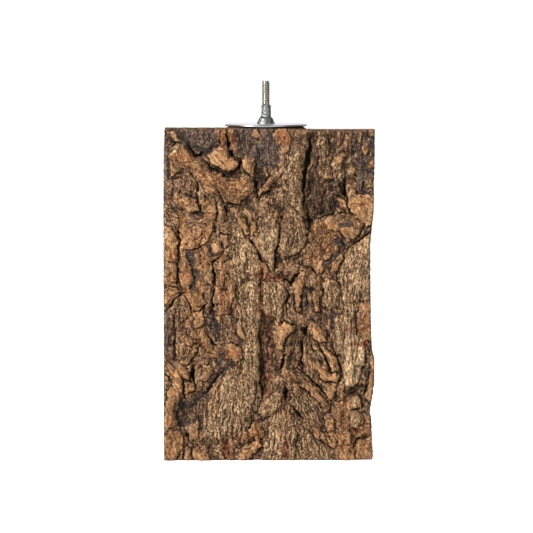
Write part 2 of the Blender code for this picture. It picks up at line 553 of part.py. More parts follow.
def square_saw_cuts(slab):
    """Brings the slab back to its exact size where fewer faces have moved its edges a little."""
    front = min(vert.co.y for vert in slab.data.vertices)
    for vert in slab.data.vertices:
        vert.co.y = min(vert.co.y - front - SLAB_DEPTH / 2.0, SLAB_DEPTH / 2.0)
        vert.co.x = max(-SLAB_WIDTH / 2.0, min(vert.co.x, SLAB_WIDTH / 2.0))
        for cut in (0.0, SLAB_HEIGHT):
            if abs(vert.co.z - cut) < SAW_CUT_REACH:
                vert.co.z = cut


def drill_hole(slab):
    """The plain hole in the top saw cut that holds the screw shank."""
    bottom = SLAB_HEIGHT - SCREW_LENGTH - HOLE_OVERSHOOT
    top = SLAB_HEIGHT + HOLE_OVERSHOOT
    bpy.ops.mesh.primitive_cylinder_add(
        vertices=HOLE_SIDES,
        radius=SCREW_DIAMETER / 2.0 + HOLE_CLEARANCE,
        depth=top - bottom,
        location=(STUD_X, 0.0, (top + bottom) / 2.0),
    )
    drill = bpy.context.object
    drill.name = "screw_hole_cutter"
    drill.hide_render = True
    drill.display_type = "WIRE"
    cut = slab.modifiers.new("screw hole", "BOOLEAN")
    cut.operation = "DIFFERENCE"
    cut.solver = "EXACT"
    cut.object = drill


def add_ring(bm, radius, height, sides):
    ring = []
    for side in range(sides):
        turn = 2.0 * math.pi * side / sides
        ring.append(bm.verts.new((radius * math.cos(turn), radius * math.sin(turn), height)))
    return ring


def join_rings(bm, lower, upper):
    sides = len(lower)
    for side in range(sides):
        after = (side + 1) % sides
        bm.faces.new((lower[side], lower[after], upper[after], upper[side]))


def add_fitting(name, bm, finish):
    """Turns the mesh into an object on the stud's axis, shaded smooth but for its sharp edges."""
    mesh = bpy.data.meshes.new(name)
    bm.to_mesh(mesh)
    bm.free()
    mesh.shade_smooth()
    mesh.set_sharp_from_angle(angle=math.radians(35.0))
    obj = add_object(name, mesh, finish)
    obj.location = (STUD_X, 0.0, 0.0)
    return obj


def turned_ring(bm, profile, sides):
    """Turns a closed profile of (radius, height), given counter-clockwise, about the axis."""
    rings = [add_ring(bm, radius, height, sides) for radius, height in profile]
    for lower, upper in zip(rings, rings[1:] + rings[:1]):
        join_rings(bm, lower, upper)


def disc_bottom():
    return SLAB_HEIGHT + GAP


def disc_top():
    return disc_bottom() + DISC_THICKNESS


def build_disc(finish):
    """The disc. Its middle, which the weld stands on, lies a little below the flat outer ring."""
    outer = DISC_DIAMETER / 2.0
    hole = STUD_DIAMETER / 2.0 + GAP
    low = disc_bottom()
    high = disc_top()
    seat = high - DISC_SEAT_DROP
    bm = bmesh.new()
    profile = [
        (hole, low),
        (outer - DISC_BEVEL, low),
        (outer, low + DISC_BEVEL),
        (outer, high - DISC_BEVEL),
        (outer - DISC_BEVEL, high),
        (DISC_SEAT_RADIUS, high),
        (DISC_SEAT_RADIUS - DISC_SEAT_DROP, seat),
        (hole, seat),
    ]
    turned_ring(bm, profile, DISC_SIDES)
    return add_fitting("washer_disc", bm, finish)


def build_weld(finish):
    """Rough weld metal: a flared foot on the disc and a thin collar up the stud."""
    low = disc_top() - DISC_SEAT_DROP + GAP
    inner = STUD_DIAMETER / 2.0 + GAP
    shoulder = low + WELD_SHOULDER_HEIGHT
    high = low + WELD_HEIGHT
    bm = bmesh.new()
    profile = [
        (inner, low),
        (WELD_BASE_RADIUS, low),
        (WELD_BASE_RADIUS - WELD_LIP, low + 5.0 * WELD_LIP),
        (WELD_SHOULDER_RADIUS, shoulder - 4.0 * WELD_LIP),
        (WELD_SHOULDER_RADIUS - 3.0 * WELD_LIP, shoulder),
        (WELD_COLLAR_RADIUS, shoulder + 4.0 * WELD_LIP),
        (WELD_COLLAR_RADIUS, high - 10.0 * WELD_LIP),
        (inner + WELD_LIP, high),
        (inner, high),
    ]
    turned_ring(bm, profile, WELD_SIDES)
    for vert in bm.verts:
        if math.hypot(vert.co.x, vert.co.y) > inner + WELD_LIP / 2.0:
            swell = weld_swell(math.atan2(vert.co.y, vert.co.x), vert.co.z)
            vert.co.x *= swell
            vert.co.y *= swell
    return add_fitting("weld_fillet", bm, finish)


def weld_swell(turn, height):
    """Lumps of the weld, outwards only, so that they never reach the stud."""
    lump = math.sin(3.0 * turn + 0.9 * height / MM) + math.sin(5.0 * turn + 1.3)
    return 1.0 + WELD_ROUGHNESS * (1.0 + 0.5 * lump)


def add_thread(bm, low, high, crest, root, pitch, sides):
    """A screw thread between two heights: its vertex by row and side, and its number of rows.

    Rows run round the axis, by turns at the root and at the crest, half a pitch apart. A row
    climbs one pitch in a turn, so after its last side comes the first vertex two rows later.
    """
    rows = int(2.0 * ((high - low) / pitch - 1.0))
    rows -= rows % 2
    verts = {}
    for row in range(rows + 3):
        last_side = sides if row <= rows else 1
        for side in range(last_side):
            turn = 2.0 * math.pi * side / sides
            radius = crest if row % 2 == 1 and 1 < row < rows else root
            height = low + (row / 2.0 + side / sides) * pitch
            verts[row, side] = bm.verts.new((radius * math.cos(turn), radius * math.sin(turn), height))
    for row in range(rows):
        for side in range(sides - 1):
            bm.faces.new((
                verts[row, side], verts[row, side + 1],
                verts[row + 1, side + 1], verts[row + 1, side]))
        bm.faces.new((
            verts[row, sides - 1], verts[row + 2, 0],
            verts[row + 3, 0], verts[row + 1, sides - 1]))
    return verts, rows


def join_thread_foot(bm, ring, verts):
    """Closes the step between a flat ring and the start of a thread above it."""
    sides = len(ring)
    for side in range(sides - 1):
        bm.faces.new((ring[side], ring[side + 1], verts[0, side + 1], verts[0, side]))
    bm.faces.new((ring[-1], ring[0], verts[0, 0], verts[1, 0], verts[2, 0], verts[0, sides - 1]))


def join_thread_head(bm, verts, rows, ring):
    """Closes the step between the end of a thread and a flat ring above it."""
    sides = len(ring)
    for side in range(1, sides - 1):
        bm.faces.new((verts[rows, side], verts[rows, side + 1], ring[side + 1], ring[side]))
    bm.faces.new((
        verts[rows, 0], verts[rows, 1], ring[1], ring[0], verts[rows + 2, 0], verts[rows + 1, 0]))
    bm.faces.new((verts[rows, sides - 1], verts[rows + 2, 0], ring[0], ring[-1]))


def build_bolt(finish):
    """Stud with a machine thread above the weld and a coarse wood thread in the cork."""
    sides = THREAD_SIDES
    crest = STUD_DIAMETER / 2.0
    root = crest - STUD_THREAD_DEPTH
    screw_crest = SCREW_DIAMETER / 2.0
    screw_root = screw_crest - SCREW_THREAD_DEPTH
    tip = SLAB_HEIGHT - SCREW_LENGTH
    point_top = tip + SCREW_POINT
    neck = SLAB_HEIGHT - SCREW_NECK
    weld_top = disc_top() + WELD_HEIGHT
    chamfer = STUD_TOP - STUD_CHAMFER

    bm = bmesh.new()
    point = bm.verts.new((0.0, 0.0, tip))
    taper = add_ring(bm, screw_root - THREAD_RUN_OUT, point_top, sides)
    for side in range(sides):
        bm.faces.new((point, taper[(side + 1) % sides], taper[side]))
    screw, screw_rows = add_thread(
        bm, point_top + THREAD_RUN_OUT, neck, screw_crest, screw_root, SCREW_PITCH, sides)
    join_thread_foot(bm, taper, screw)
    shank_low = add_ring(bm, crest, neck + THREAD_RUN_OUT, sides)
    join_thread_head(bm, screw, screw_rows, shank_low)
    shank_high = add_ring(bm, crest, weld_top, sides)
    join_rings(bm, shank_low, shank_high)
    thread, thread_rows = add_thread(
        bm, weld_top + THREAD_RUN_OUT, chamfer, crest, root, STUD_PITCH, sides)
    join_thread_foot(bm, shank_high, thread)
    chamfer_ring = add_ring(bm, crest, chamfer, sides)
    join_thread_head(bm, thread, thread_rows, chamfer_ring)
    end = add_ring(bm, root, STUD_TOP, sides)
    join_rings(bm, chamfer_ring, end)
    bm.faces.new(end)
    return add_fitting("hanger_bolt", bm, finish)


def main():
    clear_scene()
    cork = material("cork bark", (0.30, 0.19, 0.11), 0.92)
    steel = material("bright steel", (0.62, 0.62, 0.60), 0.28, metallic=1.0)
    weld_metal = material("weld metal", (0.33, 0.33, 0.31), 0.45, metallic=1.0)
    stud_metal = material("stud steel", (0.55, 0.53, 0.48), 0.33, metallic=1.0)
    build_slab(cork)
    build_disc(steel)
    build_weld(weld_metal)
    build_bolt(stud_metal)


main()
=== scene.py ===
"""Looks of the cork bark slab: rough bark face, saw-cut sides, and the steel fitting on top."""

import math

import bmesh
import bpy
import numpy as np
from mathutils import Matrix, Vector


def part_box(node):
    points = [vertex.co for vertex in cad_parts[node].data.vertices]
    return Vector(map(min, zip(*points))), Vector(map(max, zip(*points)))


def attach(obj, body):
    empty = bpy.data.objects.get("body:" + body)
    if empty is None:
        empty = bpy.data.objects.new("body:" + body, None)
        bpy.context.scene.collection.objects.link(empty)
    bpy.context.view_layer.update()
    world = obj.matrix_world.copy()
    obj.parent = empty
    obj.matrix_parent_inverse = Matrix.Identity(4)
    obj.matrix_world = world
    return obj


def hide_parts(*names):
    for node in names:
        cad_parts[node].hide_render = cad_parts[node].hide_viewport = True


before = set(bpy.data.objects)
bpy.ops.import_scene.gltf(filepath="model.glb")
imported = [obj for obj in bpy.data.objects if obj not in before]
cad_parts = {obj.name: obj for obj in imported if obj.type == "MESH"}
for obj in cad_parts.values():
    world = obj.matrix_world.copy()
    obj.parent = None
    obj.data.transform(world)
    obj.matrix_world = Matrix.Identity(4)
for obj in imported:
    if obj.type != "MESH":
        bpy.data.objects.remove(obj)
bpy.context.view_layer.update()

MM = 0.001
SLAB_LOW, SLAB_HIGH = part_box("cork_bark_slab")
DISC_LOW, DISC_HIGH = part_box("washer_disc")
WELD_LOW, WELD_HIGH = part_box("weld_fillet")
BOLT_LOW, BOLT_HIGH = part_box("hanger_bolt")
AXIS = ((DISC_LOW.x + DISC_HIGH.x) / 2.0, (DISC_LOW.y + DISC_HIGH.y) / 2.0)

# The slab in mm, from the frame: half its width, its height, and its front and back planes.
HALF_WIDTH = round(SLAB_HIGH.x / MM, 3)
TALL = round(SLAB_HIGH.z / MM, 3)
FRONT = SLAB_LOW.y / MM
BACK = SLAB_HIGH.y / MM

# Relief of the bark face, in mm: how far its mean plane lies behind the slab's front, and how far
# the deepest places lie behind that plane, as a height.
PEAK = 4.5
FLOOR = -13.0

# Grid cells over the bark face, rings of cells back along the sides, and the triangles kept.
COLUMNS = 288
ROWS = 456
RINGS = 26
KEPT_TRIANGLES = 190000

# How wide a grid cell is, roughly, in mm.
CELL = 0.55

# Cells in a table of random numbers, after which the noise repeats.
TABLE = 256

# How far the side edges lie inside the full width: height from the base, then inset, in mm.
LEFT_EDGE = [(0, 0.3), (20, 0.0), (60, 0.0), (100, 0.2), (190, 0.2), (220, 0.4), (245, 0.8), (250, 1.0)]
RIGHT_EDGE = [
    (0, 2.0), (2, 1.4), (5, 1.1), (12, 1.8), (20, 1.9), (32, 2.4), (38, 3.4), (44, 2.2), (53, 1.0),
    (59, 0.0), (77, 0.0), (81, 1.4), (86, 2.0), (100, 2.7), (140, 3.3), (163, 3.5), (173, 2.4),
    (180, 1.8), (188, 0.9), (214, 0.6), (219, 0.3), (250, 0.0)]

# The bark's features. Points are mm on the face: across from the middle, up from the base.
# Fields are broad areas: step in mm, kind of surface, tint, outline.
FIELDS = [
    (-3.5, "grey", -0.1, [
        (-80, 254), (-41, 254), (-41, 241), (-36, 237), (-43, 232), (-46, 229), (-52, 229),
        (-58, 233), (-62, 237), (-68, 241), (-73, 238), (-81, 236)]),
    (-1.5, "grey", 0.1, [
        (-28, 252), (5, 252), (4, 243), (8, 236), (9, 230), (9, 224), (3, 219), (-6, 220), (-10, 224),
        (-11, 228), (-16, 229), (-22, 231), (-25, 241)]),
    (-2.0, "umber", -0.5, [
        (44, 252), (64, 252), (66, 230), (66, 201), (61, 206), (59, 214), (57, 222), (54, 232),
        (46, 234)]),
    (-2.0, "grey", 0.1, [(61, 252), (81, 252), (81, 198), (70, 199), (66, 203), (65, 226)]),
    (-3.5, "umber", -2.2, [
        (27, 212), (57, 212), (57, 200), (55, 194), (48, 187), (36, 183), (30, 176), (27, 182)]),
    (-1.5, "umber", 0.5, [
        (-68, 221), (-60, 222), (-56, 217), (-54, 208), (-55, 198), (-63, 199), (-70, 205)]),
    (-1.0, "umber", -1.0, [
        (-30, 196), (-12, 198), (-12, 182), (-17, 170), (-27, 160), (-31, 176)]),
    (-2.0, "umber", -0.8, [(-10, 218), (-3, 220), (6, 212), (8, 205), (0, 198), (-8, 196), (-12, 206)]),
    (0.0, "pale", 0.25, [
        (-22, 190), (-12, 184), (-16, 172), (-10, 160), (-5, 151), (-6, 136), (-7, 110), (-6, 80),
        (-6, 62), (-8, 45), (-12, 33), (-16, 20), (-25, 18), (-48, 18), (-50, 32), (-48, 40),
        (-40, 48), (-38, 56), (-28, 70), (-20, 80), (-22, 88), (-16, 93), (-23, 106), (-24, 120),
        (-26, 140), (-30, 155), (-30, 170)]),
    (0.0, "pale", -0.5, [
        (-5, 134), (3, 135), (10, 134), (14, 128), (12, 118), (9, 108), (6, 103), (2, 104), (-4, 107),
        (-5, 112)]),
    (0.0, "pale", -1.1, [
        (14, 234), (24, 236), (25, 225), (24, 205), (25, 192), (18, 188), (12, 192), (8, 200),
        (6, 212), (9, 220)]),
    (0.0, "pale", -1.8, [
        (31, 232), (32, 248), (41, 248), (46, 236), (46, 215), (44, 212), (35, 212), (31, 215)]),
    (0.0, "pale", 0.1, [
        (57, 160), (66, 164), (74, 170), (76, 160), (75, 128), (70, 118), (66, 112), (60, 100),
        (62, 70), (64, 62), (60, 52), (54, 60), (55, 76), (56, 86), (55, 95), (50, 104), (52, 112),
        (45, 115), (38, 124), (40, 135), (47, 135), (51, 141), (55, 150)]),
    (0.0, "pale", 0.7, [
        (0, 35), (10, 37), (18, 32), (20, 28), (18, 14), (19, 3), (16, -2), (0, -2), (-5, 4),
        (-4, 12), (0, 20)]),
    (-4.0, "umber", 0.0, [
        (-6, 112), (4, 106), (3, 95), (5, 84), (9, 76), (9, 67), (3, 61), (-4, 50), (-7, 64),
        (-7, 84)]),
    (-2.0, "umber", -0.3, [(-8, 142), (3, 142), (20, 140), (16, 134), (4, 135), (-7, 133)]),
    (-3.0, "umber", -0.3, [(4, 153), (22, 155), (24, 148), (14, 149), (4, 144)]),
    (-2.5, "umber", -0.2, [
        (-65, 47), (-49, 57), (-46, 49), (-52, 42), (-59, 38), (-60, 29), (-66, 26), (-70, 35)]),
    (-3.0, "umber", 0.3, [(15, 92), (27, 100), (36, 90), (37, 82), (26, 66), (16, 72)]),
    (-1.5, "umber", 0.1, [(64, 62), (70, 72), (75, 70), (74, 58), (71, 46), (61, 50)]),
    (-2.5, "umber", -0.3, [(60, 56), (66, 58), (72, 56), (70, 49), (61, 50)]),
    (-1.5, "pale", -0.3, [
        (16, 46), (24, 52), (30, 50), (37, 38), (30, 24), (44, 14), (50, 4), (50, -2), (20, -2),
        (22, 26)]),
    (0.0, "grey", 0.2, [(-81, 237), (-74, 236), (-73, 210), (-81, 208)]),
    (0.0, "grey", 0.0, [(-81, 117), (-74, 114), (-73, 82), (-81, 79)]),
    (0.0, "grey", -0.1, [(72, 80), (76, 80), (79, 74), (77, 64), (73, 60), (71, 66)]),
    (0.0, "tan", -0.1, [
        (-69, 160), (-60, 162), (-45, 166), (-36, 160), (-32, 148), (-36, 138), (-44, 132), (-50, 118),
        (-50, 104), (-58, 98), (-64, 104), (-62, 118), (-67, 130)]),
    (0.0, "tan", -0.3, [(-38, 136), (-27, 138), (-25, 116), (-30, 108), (-40, 112), (-41, 124)]),
    (0.0, "tan", -0.2, [
        (-58, 100), (-50, 100), (-44, 86), (-20, 86), (-22, 76), (-40, 76), (-52, 84), (-60, 90)]),
    # Painted shade: these two fields' dark tints stand for the shaded side of the groove and the shadow
    # under the shield plate.
    (-1.5, "umber", -1.8, [(29, 246), (35, 246), (38, 232), (37, 205), (34, 190), (28, 186), (27, 214)]),
    (-2.5, "umber", -1.2, [
        (-57, 232), (-50, 230), (-42, 223), (-32, 219), (-22, 215), (-22, 210), (-33, 213), (-43, 217),
        (-53, 224)]),
    (0.0, "pale", 0.9, [
        (47, 106), (50, 96), (53, 86), (55, 76), (57, 64), (60, 54), (66, 60), (66, 100), (58, 110)]),
    (0.0, "tan", -0.2, [(50, 46), (58, 48), (62, 38), (72, 36), (77, 20), (77, -2), (50, -2), (52, 20)]),
    (0.3, "tan", -0.7, [(31, 178), (44, 181), (54, 172), (50, 152), (36, 140), (28, 152), (30, 166)]),
]

# Plates of younger cork that stand proud: height in mm, kind of surface, tint, outline.
PLATES = [
    (2.2, "tan", -0.7, [
        (-75, 233), (-70, 236), (-65, 236), (-53, 227), (-37, 215), (-24, 211), (-15, 209), (-12, 206),
        (-19, 197), (-33, 196), (-39, 203), (-47, 207), (-54, 214), (-60, 219), (-68, 216), (-74, 213)]),
    (2.0, "tan", 0.4, [(-75, 247), (-71, 247), (-65, 240), (-70, 240)]),
    (1.2, "tan", 0.0, [(-81, 252), (-77, 252), (-76.5, 241), (-81, 239)]),
    (2.7, "tan", -0.9, [
        (-75, 233), (-70, 236), (-65, 236), (-60, 232), (-52, 226), (-51, 221), (-56, 219),
        (-60, 222), (-64, 222), (-67, 217), (-73, 214)]),
    (2.8, "tan", -0.5, [
        (-52, 222), (-46, 220), (-37, 215), (-32, 213), (-34, 209), (-40, 211), (-50, 216)]),
    (2.3, "tan", -0.6, [
        (-54, 216), (-50, 215), (-43, 207), (-38, 208), (-36, 200), (-39, 195), (-45, 201),
        (-52, 210)]),
    (2.6, "tan", -0.9, [
        (-34, 213), (-17, 212), (-12, 209), (-13, 203), (-19, 200), (-23, 193), (-33, 195),
        (-36, 204)]),
    (4.0, "tan", 0.8, [
        (-46, 229), (-40, 235), (-37, 237), (-32, 237), (-29, 228), (-22, 223), (-23, 220),
        (-32, 219), (-40, 223)]),
    (4.0, "tan", 0.9, [(-20, 226), (-16, 229), (-12, 227), (-10, 222), (-12, 215), (-17, 218)]),
    (2.0, "tan", 0.1, [(4, 245), (7, 250), (13, 250), (16, 242), (13, 232), (9, 230), (6, 237)]),
    (3.0, "tan", 0.3, [
        (-71, 203), (-67, 200), (-57, 197), (-54, 192), (-52, 188), (-60, 187), (-68, 192)]),
    (2.5, "tan", 0.1, [(-50, 192), (-46, 197), (-41, 196), (-40, 188), (-44, 184), (-49, 187)]),
    (1.0, "tan", 0.4, [
        (-77, 187), (-68, 186), (-50, 183), (-41, 186), (-41, 173), (-50, 162), (-60, 159),
        (-67, 158), (-66, 176)]),
    (2.0, "tan", 1.3, [(-80, 178), (-74, 177), (-69, 168), (-69, 152), (-73, 149), (-80, 152)]),
    (1.5, "tan", 0.1, [(-66, 157), (-62, 156), (-60, 146), (-57, 134), (-60, 129), (-66, 130)]),
    (2.0, "tan", 0.4, [(-43, 171), (-37, 166), (-34, 157), (-37, 154), (-43, 156)]),
    (2.5, "tan", 0.4, [(-33, 137), (-29, 139), (-25, 134), (-26, 124), (-30, 121), (-31, 128)]),
    (2.0, "tan", -0.9, [(-39, 127), (-33, 127), (-29, 121), (-29, 111), (-38, 111)]),
    (2.0, "pale", -0.1, [(-50, 140), (-47, 146), (-42, 146), (-41, 140), (-43, 133), (-48, 133)]),
    (1.5, "umber", -0.5, [(-48, 131), (-43, 132), (-42, 124), (-45, 119), (-49, 126)]),
    (2.0, "umber", -0.3, [(-39, 144), (-35, 143), (-33, 135), (-35, 130), (-39, 133)]),
    (1.8, "tan", 0.7, [(-25, 105), (-22, 104), (-18, 96), (-19, 90), (-22, 94)]),
    (2.5, "tan", 0.3, [(-81, 128), (-74, 130), (-67, 129), (-72, 121), (-78, 113), (-81, 113)]),
    (2.0, "tan", 0.1, [(-62, 128), (-57, 130), (-47, 120), (-54, 112), (-58, 116)]),
    (2.0, "tan", 0.4, [(-55, 111), (-51, 113), (-49, 106), (-50, 101), (-56, 101)]),
    (3.0, "tan", 0.5, [(-55, 87), (-51, 88), (-56, 81), (-62, 73), (-66, 74), (-61, 79)]),
    (2.5, "tan", 0.4, [
        (-52, 100), (-48, 99), (-46, 93), (-41, 86), (-45, 82), (-50, 89), (-54, 94)]),
    (2.5, "tan", 0.3, [(-34, 87), (-28, 88), (-21, 84), (-20, 78), (-25, 74), (-33, 78)]),
    (2.5, "tan", 0.3, [(-81, 78), (-73, 72), (-67, 64), (-65, 52), (-70, 56), (-74, 64), (-81, 67)]),
    (2.0, "tan", 0.2, [(-71, 70), (-66, 72), (-60, 66), (-60, 61), (-66, 63)]),
    (2.5, "tan", -0.1, [(-54, 66), (-50, 72), (-44, 72), (-42, 67), (-48, 60), (-55, 61)]),
    (3.5, "tan", 0.4, [
        (-73, 59), (-66, 56), (-67, 46), (-70, 36), (-70, 27), (-76, 25), (-79, 30), (-77, 43)]),
    (2.0, "tan", 0.1, [(-81, 21), (-70, 22), (-64, 18), (-66, 10), (-72, -2), (-81, -2)]),
    (1.5, "tan", -0.1, [(-59, 29), (-53, 30), (-53, 17), (-60, 16), (-62, 22)]),
    (1.5, "tan", 0.1, [(-56, 11), (-50, 12), (-46, 6), (-45, -2), (-56, -2)]),
    (2.5, "pale", 0.8, [
        (-7, 182), (3, 184), (7, 177), (6, 157), (3, 142), (-1, 148), (-9, 160), (-11, 166)]),
    (2.5, "pale", -1.5, [
        (13, 191), (17, 190), (23, 184), (29, 174), (26, 160), (20, 156), (9, 152), (7, 160),
        (9, 174)]),
    (2.0, "pale", -0.4, [
        (-22, 130), (-15, 136), (-7, 136), (-7, 112), (-8, 84), (-8, 64), (-11, 50), (-15, 30),
        (-26, 34), (-20, 66), (-16, 92)]),
    (1.0, "pale", -0.4, [(-4, 135), (10, 134), (13, 126), (8, 106), (-3, 110)]),
    (1.0, "pale", -1.0, [(10, 220), (16, 234), (25, 234), (25, 187), (20, 190), (14, 198), (10, 206)]),
    (0.8, "pale", -1.7, [(37, 248), (42, 248), (46, 238), (46, 214), (38, 214)]),
    (1.0, "pale", 0.3, [
        (-49, 38), (-38, 56), (-27, 70), (-20, 62), (-17, 36), (-20, 26), (-26, 18), (-31, 23),
        (-37, 16), (-43, 21), (-49, 17)]),
    (1.5, "tan", 0.5, [(-45, 52), (-42, 57), (-32, 70), (-28, 68), (-36, 59), (-42, 50)]),
    (1.0, "pale", 0.9, [(1, 36), (18, 34), (18, 4), (1, 6)]),
    (4.0, "tan", 0.8, [(20, 102), (11, 105), (5, 100), (3, 92), (6, 85), (9, 84), (13, 93), (19, 99)]),
    (1.2, "tan", 0.2, [(14, 87), (17, 87), (15, 80), (13, 81)]),
    (1.2, "tan", 0.3, [(18, 74), (22, 75), (23, 70), (19, 70)]),
    (1.0, "tan", 0.3, [(31, 91), (33, 91), (37, 84), (35, 83)]),
    (4.0, "tan", 0.5, [(29, 99), (30, 105), (36, 103), (42, 99), (43, 90), (38, 88), (32, 95)]),
    (3.5, "tan", 0.4, [(38, 87), (43, 84), (51, 76), (52, 68), (48, 67), (44, 76), (38, 83)]),
    (2.5, "tan", 0.3, [(31, 79), (36, 76), (42, 69), (53, 64), (51, 58), (42, 60), (34, 70)]),
    (3.0, "tan", 0.4, [
        (15, 67), (19, 67), (27, 60), (34, 55), (42, 47), (45, 40), (42, 38), (37, 46), (28, 53),
        (20, 60)]),
    (3.5, "tan", 0.8, [
        (60, 206), (66, 201), (73, 199), (81, 198), (81, 182), (73, 176), (64, 184), (60, 191)]),
    (2.5, "tan", 0.4, [(50, 199), (54, 197), (60, 188), (59, 185), (53, 192)]),
    (3.0, "tan", 0.6, [
        (41, 182), (50, 185), (60, 185), (67, 182), (70, 176), (64, 168), (58, 166), (53, 173),
        (43, 175)]),
    (2.0, "pale", 0.5, [
        (57, 159), (66, 164), (75, 170), (81, 160), (81, 128), (70, 120), (64, 130), (52, 141)]),
    (2.8, "tan", 0.3, [
        (18, 133), (21, 139), (27, 142), (26, 137), (24, 129), (23, 113), (20, 113), (20, 126)]),
    (2.6, "tan", 0.2, [
        (28, 142), (34, 142), (38, 138), (38, 127), (37, 113), (34, 113), (34, 124), (33, 133)]),
    (1.5, "pale", 0.1, [(27, 139), (31, 139), (34, 134), (31, 130), (27, 131)]),
    (1.0, "pale", -0.6, [(39, 118), (38, 132), (47, 136), (53, 130), (53, 116), (45, 114)]),
    (1.5, "tan", 0.1, [(68, 117), (76, 119), (81, 112), (81, 92), (71, 91), (67, 100)]),
    (0.7, "pale", 3.0, [
        (56, 99), (66, 100), (71, 90), (72, 76), (68, 64), (63, 55), (57, 56), (56, 70), (58, 84)]),
    (2.0, "tan", 0.4, [(74, 79), (81, 79), (81, 50), (76, 43), (73, 47), (74, 60), (78, 68)]),
    (3.5, "tan", 0.2, [(60, 46), (65, 49), (69, 47), (68, 42), (60, 38)]),
    (1.5, "tan", 0.4, [(43, 34), (48, 33), (49, 23), (44, 22)]),
    (2.0, "tan", 0.1, [(44, 21), (49, 22), (52, 15), (50, 11), (46, 14)]),
    (2.5, "tan", 0.2, [(26, 28), (31, 27), (40, 20), (50, 12), (46, 10), (37, 17), (28, 24)]),
    (1.5, "pale", 0.0, [(60, 36), (69, 39), (71, 29), (66, 24), (61, 27)]),
    (3.0, "tan", 0.2, [(65, 10), (69, 15), (77, 18), (81, 12), (81, -2), (67, -2)]),
    (1.5, "tan", 0.4, [(53, 11), (63, 11), (66, -2), (54, -2)]),
    (2.0, "pale", 0.0, [(-8, 36), (0, 41), (7, 47), (9, 42), (-4, 31)]),
    (2.5, "tan", 0.3, [(-24, 4), (-19, 12), (-7, 15), (-6, 11), (-13, 3), (-22, -2)]),
    # Smaller flakes.
    (1.5, "tan", 0.5, [(-36, 244), (-34, 249), (-32, 249), (-33, 238), (-35, 237)]),
    (1.0, "tan", 0.0, [(-13, 243), (-12, 250), (-8, 250), (-8, 243)]),
    (1.2, "tan", 0.1, [(22, 246), (22, 252), (28, 252), (28, 246)]),
    (1.0, "tan", 0.8, [(75, 245), (75, 252), (81, 252), (81, 244)]),
    (1.5, "tan", 0.3, [(-36, 170), (-31, 170), (-30, 164), (-33, 160)]),
    (2.0, "tan", 0.9, [(-35, 155), (-32, 156), (-29, 152), (-33, 150)]),
    (1.2, "tan", -0.1, [(-81, 150), (-70, 148), (-69, 140), (-70, 132), (-81, 133)]),
    (1.5, "tan", 0.3, [(-60, 98), (-57, 98), (-53, 92), (-60, 95)]),
    (1.5, "tan", 0.4, [(-63, 84), (-60, 85), (-58, 84), (-64, 78)]),
    (1.5, "tan", 0.2, [(-64, 58), (-60, 59), (-56, 57), (-57, 52), (-62, 50)]),
    (1.5, "tan", 0.7, [(-63, 9), (-60, 10), (-58, 7), (-58, -1), (-64, -1)]),
    (1.5, "pale", 0.3, [(-47, 15), (-45, 15), (-36, 6), (-31, -1), (-34, -1), (-42, 8)]),
    (1.5, "tan", 0.2, [(-14, 30), (-6, 28), (-4, 20), (-8, 14), (-16, 24)]),
    (1.8, "pale", 0.1, [(-4, 44), (0, 47), (5, 52), (10, 50), (9, 46), (3, 44), (-2, 41)]),
    (1.8, "tan", 0.3, [(41, 58), (50, 57), (49, 50), (46, 46), (42, 53)]),
    (1.8, "tan", 0.5, [(51, 56), (55, 56), (57, 51), (55, 46), (52, 46)]),
    (1.5, "tan", 0.4, [(53, 174), (60, 174), (60, 169), (58, 166)]),
    (1.5, "tan", 0.4, [(40, 156), (45, 157), (46, 152), (42, 150)]),
    (1.8, "tan", 0.3, [(34, 152), (40, 150), (39, 143), (36, 141), (33, 146)]),
    (1.8, "tan", 0.4, [(50, 152), (54, 155), (56, 153), (54, 146), (50, 141), (46, 142)]),
    (1.8, "tan", 0.6, [(50, 230), (56, 233), (57, 229), (52, 222), (49, 217), (47, 221)]),
    (1.8, "tan", 0.7, [(60, 218), (63, 223), (66, 222), (66, 216), (62, 215)]),
    (1.5, "tan", 0.7, [(39, 211), (43, 215), (47, 213), (47, 211), (43, 212), (40, 209)]),
    (2.0, "tan", 0.8, [
        (10, 220), (11, 217), (4, 210), (-2, 203), (-9, 196), (-8, 200), (-2, 208), (4, 215)]),
    (1.6, "tan", 0.3, [(-28, 190), (-24, 188), (-14, 172), (-17, 170)]),
    (1.6, "tan", 0.6, [(-19, 190), (-16, 189), (-9, 173), (-12, 170)]),
    (1.5, "tan", 0.3, [(-5, 220), (-3, 219), (-1, 214), (-4, 216)]),
    (1.2, "tan", 0.7, [(67, 117), (70, 118), (76, 116), (76, 112), (70, 113)]),
    (1.2, "tan", 0.6, [(69, 104), (76, 104), (77, 92), (71, 91), (68, 97)]),
    (1.2, "tan", 0.0, [(57, 22), (61, 22), (61, 13), (57, 13)]),
    (1.2, "tan", 0.2, [(70, 236), (73, 239), (74, 232), (71, 230)]),
    (1.2, "tan", 0.3, [(74, 226), (78, 228), (79, 222), (75, 221)]),
    (1.0, "tan", 0.1, [(66, 240), (67, 247), (69, 247), (68, 239)]),
    (1.2, "tan", 0.2, [(72, 210), (76, 213), (78, 207), (74, 205)]),
    (1.2, "pale", 0.4, [(62, 48), (68, 49), (69, 42), (64, 40)]),
]

